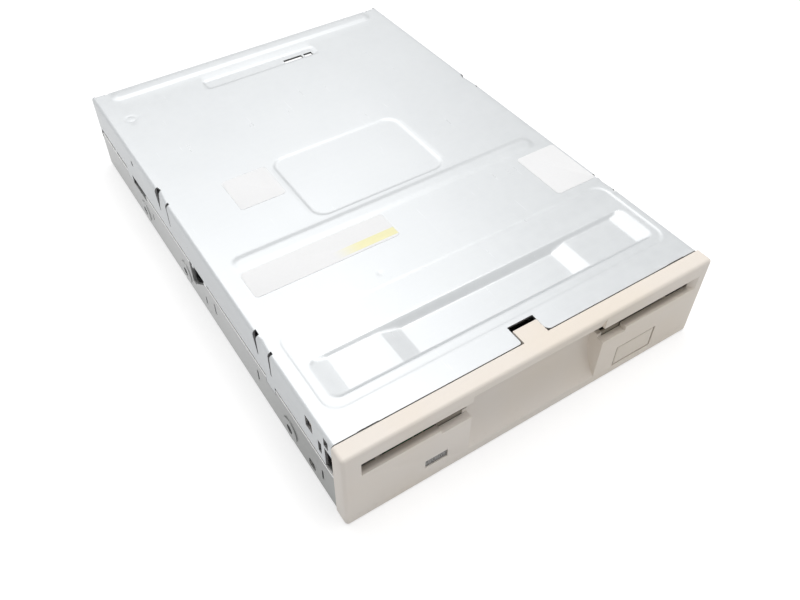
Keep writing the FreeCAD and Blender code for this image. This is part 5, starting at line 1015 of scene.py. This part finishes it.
def rounded_mouth(x, y):
    """Moves a point by the notch's mouth so that the square corner of the grid becomes round."""
    for corner_x, way, radius in NOTCH_MOUTH:
        a = 1 - way * (x - corner_x) / radius
        b = 1 - (y - COVER_FRONT) / radius
        if 0 <= a <= 1 and 0 <= b <= 1:
            x = corner_x + way * radius * (1 - a * math.sqrt(1 - b * b / 2))
            y = COVER_FRONT + radius * (1 - b * math.sqrt(1 - a * a / 2))
    return x, y


def build_cover():
    """The cover as one flat blank on a grid, pressed, cut and folded down on three sides."""
    across, along = blank_across(), blank_along()
    s, t = np.meshgrid(np.array(across), np.array(along), indexing="ij")
    pressing = press_height(s, t) * (np.abs(s) <= FLAT_X) * (t <= FLAT_REAR)
    points, faces, index = [], [], {}

    def corner(i, j, tail):
        """The folded place of a crossing of the grid. A side's tail runs past the rear bend."""
        key = (i, j, tail and along[j] > FLAT_REAR)
        if key not in index:
            out, drop = folded(abs(across[i]), FLAT_X)
            y, fall = (along[j], 0.0) if tail else folded(along[j], FLAT_REAR)
            shift, lean = lanced(abs(across[i]) - FLAT_X, along[j])
            x, y = rounded_mouth(math.copysign(out - lean, across[i]), y + shift)
            index[key] = len(points)
            points.append(place(x, y, COVER_TOP - drop - fall + pressing[i, j]))
        return index[key]

    for i in range(len(across) - 1):
        for j in range(len(along) - 1):
            s_mid, t_mid = (across[i] + across[i + 1]) / 2, (along[j] + along[j + 1]) / 2
            if blank_keeps(s_mid, t_mid):
                tail = abs(s_mid) > FLAT_X
                faces.append([corner(i + di, j + dj, tail)
                              for di, dj in ((0, 0), (1, 0), (1, 1), (0, 1))])
    mesh = bpy.data.meshes.new("cover")
    mesh.from_pydata(points, [], faces)
    mesh.materials.append(galvanised.material)
    mesh.materials.append(cut_edge.material)
    piece = new_object("cover_pressed", mesh)
    wall = piece.modifiers.new("sheet", "SOLIDIFY")
    wall.thickness = COVER_SHEET * MM
    wall.offset = -1.0
    wall.use_even_offset = True
    wall.material_offset_rim = 1
    apply_modifiers(piece)
    smooth(piece.data, 50.0)
    finished(piece, "housing", "cover_steel", "top_cover")


def build_label(name, edges, finish, radius=1.0):
    """A thin label with round corners that lies on the cover."""
    x0, x1, y0, y1 = edges
    outline = []
    for cx, cy, start in ((x1 - radius, y1 - radius, 0), (x0 + radius, y1 - radius, 90),
                          (x0 + radius, y0 + radius, 180), (x1 - radius, y0 + radius, 270)):
        for i in range(7):
            angle = math.radians(start + 15 * i)
            outline.append((cx + radius * math.cos(angle), cy + radius * math.sin(angle)))
    middle_x, middle_y = (x0 + x1) / 2, (y0 + y1) / 2
    work = bmesh.new()
    rings = []
    for inset, lift in ((0.0, 0.005), (0.0, 0.05), (0.06, 0.075)):
        ring = []
        for x, y in outline:
            out = Vector((x - middle_x, y - middle_y))
            out -= out.normalized() * inset
            ring.append(work.verts.new(place(middle_x + out.x, middle_y + out.y, COVER_TOP + lift)))
        rings.append(ring)
    for low, high in zip(rings, rings[1:]):
        for i, k in enumerate([*range(1, len(low)), 0]):
            work.faces.new((low[i], low[k], high[k], high[i]))
    work.faces.new(rings[-1])
    work.faces.new(rings[0][::-1])
    mesh = bpy.data.meshes.new(name)
    work.to_mesh(mesh)
    work.free()
    mesh.materials.append(finish.material)
    smooth(mesh, 25.0)
    finished(new_object(name, mesh), "housing", "white_plastic")


# Small pieces made by Geometry Nodes

def wire_maker():
    """Sweeps round wire along paths, as thick as their points say."""
    maker = Maker("wire", Sides=6.0)
    curve = maker.add("GeometryNodeMeshToCurve", {}, {0: maker.given["Places"]})
    section = maker.add("GeometryNodeCurvePrimitiveCircle", {},
                        {"Resolution": maker.given["Sides"], "Radius": 1.0})
    swept = maker.add("GeometryNodeCurveToMesh", {},
                      {"Curve": curve.outputs[0], "Profile Curve": section.outputs[0],
                       "Scale": maker.named("gauge", "FLOAT"), "Fill Caps": True})
    maker.end(swept.outputs[0])
    return maker


def screw_maker():
    """Sets pan-head screws with a cross recess on points, each turned by its own angle."""
    maker = Maker("screws", Radius=1.9 * MM, Height=1.15 * MM, Cross=0.42 * MM)
    radius, height, cross = (maker.size(name) for name in ("Radius", "Height", "Cross"))
    barrel = maker.add("GeometryNodeMeshCylinder", {},
                       {"Vertices": 28, "Side Segments": 4, "Fill Segments": 4, "Radius": radius,
                        "Depth": height})
    x, y, z = maker.split(maker.spot())
    out = Number(maker, maker.add("ShaderNodeVectorMath", {"operation": "LENGTH"},
                                  {0: maker.vector(x, y, 0.0)}).outputs["Value"])
    # The top rises to a dome, and the side tucks in towards it
    lift = z / height + 0.5
    share = out / radius
    dome = (1.0 - share * share) * (lift.above(0.9) * (height * 0.35))
    tuck = 1.0 - lift.most(0.0) ** 4.0 * 0.14
    shaped = maker.add("GeometryNodeSetPosition", {}, {
        "Geometry": barrel.outputs[0],
        "Position": maker.vector(x * tuck, y * tuck, z + height * 0.5 + dome)})
    long, deep = radius * 1.15, height * 1.2
    recess = maker.add("GeometryNodeMeshBoolean", {"operation": "UNION", "solver": "EXACT"})
    for sizes in ((long, cross, deep), (cross, long, deep)):
        block = maker.add("GeometryNodeMeshCube", {}, {"Size": maker.vector(*sizes)})
        raised = maker.add("GeometryNodeTransform", {},
                           {"Geometry": block.outputs[0],
                            "Translation": maker.vector(0.0, 0.0, height * 1.25)})
        maker.tree.links.new(raised.outputs[0], recess.inputs["Mesh 2"])
    head = maker.add("GeometryNodeMeshBoolean", {"operation": "DIFFERENCE", "solver": "EXACT"},
                     {"Mesh 1": shaped.outputs[0], "Mesh 2": recess.outputs[0]})
    washer = maker.add("GeometryNodeMeshCylinder", {},
                       {"Vertices": 28, "Radius": radius * 1.18, "Depth": height * 0.22})
    both = maker.add("GeometryNodeJoinGeometry")
    for part in (head, washer):
        maker.tree.links.new(part.outputs[0], both.inputs[0])
    maker.end(maker.set_on_places(both.outputs[0]))
    return maker


def block_maker():
    """Sets drafted blocks on points: each as large as its point says."""
    maker = Maker("blocks", Draft=0.88)
    cube = maker.add("GeometryNodeMeshCube", {}, {"Size": (1.0, 1.0, 1.0)})
    x, y, z = maker.split(maker.spot())
    draft = maker.size("Draft")
    shaped = maker.add("GeometryNodeSetPosition", {},
                       {"Geometry": cube.outputs[0], "Selection": z.above(0.0),
                        "Position": maker.vector(x * draft, y * draft, z)})
    maker.end(maker.set_on_places(shaped.outputs[0], Scale=maker.named("size")))
    return maker


def joint_maker():
    """Sets soldered joints on points: a cone of solder round the end of a lead."""
    maker = Maker("joints", Radius=0.5 * MM, Height=0.7 * MM)
    radius, height = maker.size("Radius"), maker.size("Height")
    cone = maker.add("GeometryNodeMeshCone", {},
                     {"Vertices": 10, "Side Segments": 3, "Radius Top": radius * 0.34,
                      "Radius Bottom": radius, "Depth": height})
    maker.end(maker.set_on_places(cone.outputs[0]))
    return maker


def helix(centre, axis, radius, start, end, turns, steps=12, begin=0.0):
    """Points of a coil about an axis through a centre, from start to end along it."""
    points = []
    count = int(turns * steps)
    for i in range(count + 1):
        angle = begin + 2 * math.pi * i / steps
        along = start + (end - start) * i / count
        a, b = radius * math.cos(angle), radius * math.sin(angle)
        points.append({"x": (along, centre[0] + a, centre[1] + b),
                       "y": (centre[0] + a, along, centre[1] + b)}[axis])
    return points


def build_eject_springs(wires):
    """The two springs that pull the slide plate forward, each with a hook at both ends."""
    runs = []
    z = EJECT_SPRING_Z
    for x in (-EJECT_SPRING_X, EJECT_SPRING_X):
        coil = helix((x, z), "y", EJECT_COIL_R, *EJECT_COIL, EJECT_TURNS)
        head = [(x + out, y, z) for out, y in FRONT_HOOK] + [(coil[0][0] - 0.3, 37.75, z)]
        tail = [(coil[-1][0] - 0.3, 61.05, z)] + [(x + out, y, z) for out, y in REAR_HOOK]
        runs.append((head + coil + tail, EJECT_WIRE))
    # The rear hooks go with the slide plate on the real drive; this pair is made at rest only
    pair = wires.make("eject_springs_wound", paths(*runs), spring_wire)
    place(0, 36.0, 4.4)
    place(0, 62.0, 4.4)
    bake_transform(pair)
    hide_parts("eject_springs")


def build_springs(wires):
    """The wound springs of the lever, the flap and the upper arm."""
    low, high = solid_box("lever_spring")
    x, z = (low[0] + high[0]) / 2, (low[2] + high[2]) / 2
    front, rear = low[1], high[1]
    coil = helix((x, z), "y", LEVER_COIL_R, rear - 7.2, rear - 1.5, LEVER_TURNS)
    line = [(x, front + 0.8, z), (x, rear - 7.9, z)] + coil + [(x, rear - 0.9, z), (x, rear, z)]
    post = [(x, front + 0.8, z + up) for up in (-0.75, -0.2, 0.45)]
    made = wires.make("lever_spring_wound", paths((line, LEVER_WIRE), (post, list(LEVER_POST))),
                      spring_wire, Sides=8.0)
    finished(made, "carrier", "turned_steel", "lever_spring")

    for name, body, gauge in PIN_SPRINGS:
        low, high = solid_box(name)
        centre = (low[1] + high[1]) / 2, (low[2] + high[2]) / 2
        start, end = low[0] + gauge, high[0] - gauge
        turns = math.floor((end - start) / (CLOSE_PITCH * gauge))
        coil = helix(centre, "x", (high[2] - low[2]) / 2 - gauge, start, end, turns,
                     begin=math.pi / 2)
        finished(wires.make(name + "_wound", paths((coil, gauge)), spring_wire),
                 body, "turned_steel", name)


def build_lead_screw(wires):
    """The lead screw: a core with a neck, and a raised thread that fades out at both ends."""
    (_, front, _), (_, rear, _) = solid_box("lead_screw")
    x, z = SCREW_AXIS
    shoulder = front + SCREW_NECK
    core = [(x, y, z) for y in (front, front + 0.25, shoulder - 0.05, shoulder, shoulder + 0.4, rear)]
    gauges = [0.7, 0.9, 0.9, 1.1, SCREW_R, SCREW_R]
    start, end = shoulder + 1.0, rear - 4.0
    thread = helix((x, z), "y", THREAD_R, start, end, (end - start) / THREAD_PITCH, 24)
    fade = [0.12] + [THREAD_GAUGE] * (len(thread) - 2) + [0.12]
    finished(wires.make("lead_screw_threaded", paths((core, gauges), (thread, fade)), along_y,
                        Sides=20.0), "screw", "turned_steel", "lead_screw")


def build_windings(wires):
    """The stator's coils: each tooth wound turn by turn with enamelled wire."""
    corners = ((-TOOTH_HALF, TOOTH_BOTTOM), (TOOTH_HALF, TOOTH_BOTTOM),
               (TOOTH_HALF, TOOTH_TOP), (-TOOTH_HALF, TOOTH_TOP))
    count = TOOTH_TURNS * 4
    runs = []
    for tooth in range(TEETH):
        angle = 2 * math.pi * tooth / TEETH
        c, s = math.cos(angle), math.sin(angle)
        run = []
        for i in range(count + 1):
            along = TOOTH_START + TOOTH_LENGTH * i / count
            across, z = corners[i % 4]
            run.append((along * c - across * s, SPINDLE_Y + along * s + across * c, z))
        runs.append((run, WINDING_WIRE))
    finished(wires.make("stator_windings", paths(*runs), copper_wire),
             "housing", "copper", "stator_coils")


def build_screws():
    """Pan-head screws under the boards and in the stepper's bracket."""
    screws = screw_maker()
    points, turns = [], []
    for i, y in enumerate(BOARD_SCREWS_Y):
        for side in (-1, 1):
            points.append((BOARD_SCREW_X * side, y, BOARD_BOTTOM))
            turns.append((math.pi, 0.0, 0.4 + 0.9 * i + side))
    boards = screws.make("board_screws", places(points, turn=turns), screw_steel)
    bracket = screws.make("bracket_screws",
                          places(BRACKET_SCREWS, turn=[(0, 0, 0.5), (0, 0, 1.3)]), screw_steel,
                          Radius=1.5 * MM, Height=0.95 * MM, Cross=0.34 * MM)
    for piece in (boards, bracket):
        smooth(piece.data)
        finished(piece, "housing", "turned_steel")


def crossed(way, along, across, high):
    """A block's size in metres, with its length along x, or along y if way is set."""
    return (across * MM, along * MM, high * MM) if way else (along * MM, across * MM, high * MM)


def chip_legs(x, y, width, depth, z, shaded_sides):
    """Places and sizes of a chip's legs round a body centred on x and y."""
    points, sizes = [], []
    for side, length, reach in (("x", width, depth), ("y", depth, width)):
        if side not in shaded_sides:
            continue
        count = int((length - LEG_MARGIN) / LEG_PITCH)
        for i in range(count + 1):
            along = (i - count / 2) * LEG_PITCH
            for way in (-1, 1):
                out = way * (reach / 2 + LEG_REACH)
                foot = (along, out) if side == "x" else (out, along)
                points.append((x + foot[0], y + foot[1], z))
                sizes.append(crossed(side == "x", *LEG_SIZE))
    return points, sizes


def build_chip_legs(blocks):
    """The legs of the chips under the main board."""
    points, sizes = [], []
    for x, y, width, depth, shaded_sides in CHIPS:
        more, their = chip_legs(x, y, width, depth, BOARD_BOTTOM - LEG_DROP, shaded_sides)
        points += more
        sizes += their
    legs = blocks.make("chip_legs", places(points, size=sizes, turn=DOWN), leg_plate)
    finished(legs, "housing", "pin_metal")


def build_small_parts(blocks):
    """Capacitors and resistors under the boards, by turns, with their soldered ends."""
    for pick, (name, finish, high, drop) in enumerate((("capacitors", beige_ceramic, 0.8, 0.4),
                                                       ("resistors", black_plastic, 0.5, 0.25))):
        z = BOARD_BOTTOM - drop
        bodies, ends, body_sizes, end_sizes = [], [], [], []
        for x, y, way in SMALL_PARTS[pick::2]:
            bodies.append((x, y, z))
            body_sizes.append(crossed(way, PART_BODY, PART_BODY, high))
            for side in (-1, 1):
                shift = side * (PART_BODY + PART_END) / 2
                ends.append((x, y + shift, z) if way else (x + shift, y, z))
                end_sizes.append(crossed(way, PART_END, END_WIDTH, high))
        finished(blocks.make(name, places(bodies, size=body_sizes, turn=DOWN), finish, Draft=0.97),
                 "housing", "grey_plastic")
        finished(blocks.make(name + "_ends", places(ends, size=end_sizes, turn=DOWN), solder,
                             Draft=0.9), "housing", "pin_metal")


def build_joints():
    """Soldered joints under the connectors' pins and the link's ends."""
    z = BOARD_BOTTOM - JOINT_DROP
    middle = (DATA_COLUMNS - 1) // 2
    points = [(DATA_X + (i - middle) * DATA_PITCH, y, z)
              for i in range(DATA_COLUMNS) for y in DATA_ROWS_Y]
    points += [(POWER_X + (i - (POWER_PINS - 1) / 2) * POWER_PITCH, POWER_Y, z)
               for i in range(POWER_PINS)]
    points += [(LINK_LEFT + i, y, z) for i in range(LINK_TRACKS) for y in LINK_ENDS_Y]
    joints = joint_maker().make("soldered_joints", places(points, turn=DOWN), solder)
    smooth(joints.data)
    finished(joints, "housing", "pin_metal")


def build_mouldings():
    """Moulded pieces with their edges eased."""
    for node, finish, body, slot, width in (
            ("front_bezel", ivory, "housing", "bezel_plastic", 0.16),
            ("eject_button", button_ivory, "slide", "button_plastic", 0.14),
            ("slot_flap", shaded_flap_ivory, "flap", "flap_plastic", 0.1),
            ("data_connector", black_plastic, "housing", "black_plastic", 0.12),
            ("power_connector", white_plastic, "housing", "white_plastic", 0.12),
            ("head_carriage", cast_zinc, "carriage", "zinc_cast", 0.15),
            ("board_chips", chip_plastic, "housing", "black_plastic", 0.12)):
        piece = eased_copy(node, finish, width)
        if node == "eject_button":
            for vertex in piece.data.vertices:
                if vertex.co.y < (FRONT + BUTTON_LENGTH - MIDDLE_Y) * MM:
                    vertex.co += Vector(BUTTON_PLAY) * MM
        finished(piece, body, slot, node)


def build_slot_risers():
    """The low walls behind the two finger notches, which close the slot's floor again."""
    work = bmesh.new()
    for x0, x1 in RISERS:
        for vertex in bmesh.ops.create_cube(work, size=1.0)["verts"]:
            share = vertex.co + Vector((0.5, 0.5, 0.5))
            draft = RISER_DRAFT * share.z * share.y
            vertex.co = place(x0 + (x1 - x0) * share.x, RISER_FRONT + RISER_THICK * share.y - draft,
                              RISER_BOTTOM + RISER_HEIGHT * share.z)
    mesh = bpy.data.meshes.new("slot_risers")
    work.to_mesh(mesh)
    work.free()
    # The walls take the ivory darkened as painted shade
    mesh.materials.append(shaded_ivory.material)
    piece = new_object("slot_risers", mesh)
    ease_edges(piece, 0.15)
    finished(piece, "housing", "bezel_plastic")


# The studio, in metres

FLOOR_HALF = 3.0
FLOOR_Z = -0.00004


def direct_rays(nodes):
    """1 for what the camera, a reflection or a clear piece sees, and 0 for soft light."""
    rays = nodes.add("ShaderNodeLightPath").outputs
    camera, glossy, clear = (Number(nodes, rays[f"Is {kind} Ray"])
                             for kind in ("Camera", "Glossy", "Transmission"))
    return camera.most(glossy).most(clear)


def build_floor():
    """A white floor, which keeps the drive's shadow and glows a little round it, with a painted
    shadow under the drive where the glow is left out.
    """
    mesh = bpy.data.meshes.new("floor")
    low, high = -FLOOR_HALF, FLOOR_HALF
    corners = [(x, y, FLOOR_Z) for x, y in ((low, low), (high, low), (high, high), (low, high))]
    mesh.from_pydata(corners, [], [(0, 1, 2, 3)])
    material = bpy.data.materials.new("studio_floor")
    material.use_nodes = True
    nodes = Nodes(material.node_tree)
    seen = direct_rays(nodes)
    paper = nodes.add("ShaderNodeBsdfDiffuse", {}, {"Color": (0.8, 0.8, 0.8, 1)})
    faint = nodes.add("ShaderNodeBsdfDiffuse", {}, {"Color": (0.5, 0.5, 0.5, 1)})
    x, y, _ = nodes.split(nodes.add("ShaderNodeTexCoord").outputs["Object"])
    # No glow under the drive: a painted shadow where it stands
    outside_painted_shadow = x.size().over(0.047, 0.050).most(y.size().over(0.069, 0.073))
    far = x.size().most(y.size()).over(0.2, 1.4)
    glow = nodes.add("ShaderNodeEmission", {},
                     {"Color": (1, 1, 1, 1), "Strength": outside_painted_shadow * 0.6 + far * 0.25})
    bright = nodes.add("ShaderNodeAddShader", {}, {0: faint.outputs[0], 1: glow.outputs[0]})
    mixed = nodes.add("ShaderNodeMixShader", {}, {0: seen, 1: paper.outputs[0], 2: bright.outputs[0]})
    nodes.add("ShaderNodeOutputMaterial", {}, {"Surface": mixed.outputs[0]})
    mesh.materials.append(material)
    new_object("floor", mesh)


def build_world():
    """A white background that is seen, and soft cool light on the drive."""
    world = bpy.data.worlds.new("studio")
    world.use_nodes = True
    nodes = Nodes(world.node_tree)
    seen = direct_rays(nodes)
    soft = nodes.add("ShaderNodeBackground", {}, {"Color": (0.97, 0.985, 1.0, 1), "Strength": 0.42})
    white = nodes.add("ShaderNodeBackground", {}, {"Color": (1, 1, 1, 1), "Strength": 1.0})
    mixed = nodes.add("ShaderNodeMixShader", {}, {0: seen, 1: soft.outputs[0], 2: white.outputs[0]})
    nodes.add("ShaderNodeOutputWorld", {}, {"Surface": mixed.outputs[0]})
    bpy.context.scene.world = world


def build_lamps():
    """A small key lamp over the front, and a large soft one behind and above."""
    aim = Vector((0, 0, 0.02))
    for name, spot, size, power, tint in (
            ("key", (0.1, -0.13, 0.66), 0.35, 1.65, (1.0, 0.98, 0.96)),
            ("softbox", (0.04, 0.5, 1.0), 1.1, 6.1, (1.0, 0.985, 0.98))):
        light = bpy.data.lights.new(name, "AREA")
        light.shape = "SQUARE"
        light.size = size
        light.energy = power
        light.color = tint
        lamp = new_object(name, light)
        lamp.location = spot
        lamp.rotation_euler = (aim - Vector(spot)).to_track_quat("-Z", "Y").to_euler()


def build_camera():
    """The camera where the photograph was taken from."""
    view = bpy.data.cameras.new("camera")
    view.lens = 35.93
    view.sensor_width = 36.0
    view.shift_x = 0.0365
    view.shift_y = -0.0234
    view.clip_start = 0.01
    camera = new_object("camera", view)
    camera.location = (-0.086362, -0.146769, 0.158821)
    camera.rotation_euler = Euler([math.radians(a) for a in (43.8325, 1.0589, -31.9746)])
    bpy.context.scene.camera = camera
    bpy.context.scene.view_settings.view_transform = "Standard"


def build():
    """Everything, in order."""
    dress_nodes()
    build_cover()
    build_mouldings()
    build_slot_risers()
    build_label("square_label", SQUARE_LABEL, bare_label)
    build_label("tall_label", TALL_LABEL, bare_label)
    build_label("long_label", LONG_LABEL, banded_label)
    wires = wire_maker()
    build_eject_springs(wires)
    build_springs(wires)
    build_lead_screw(wires)
    build_windings(wires)
    build_screws()
    blocks = block_maker()
    build_chip_legs(blocks)
    build_small_parts(blocks)
    build_joints()
    build_floor()
    build_world()
    build_lamps()
    build_camera()


build()
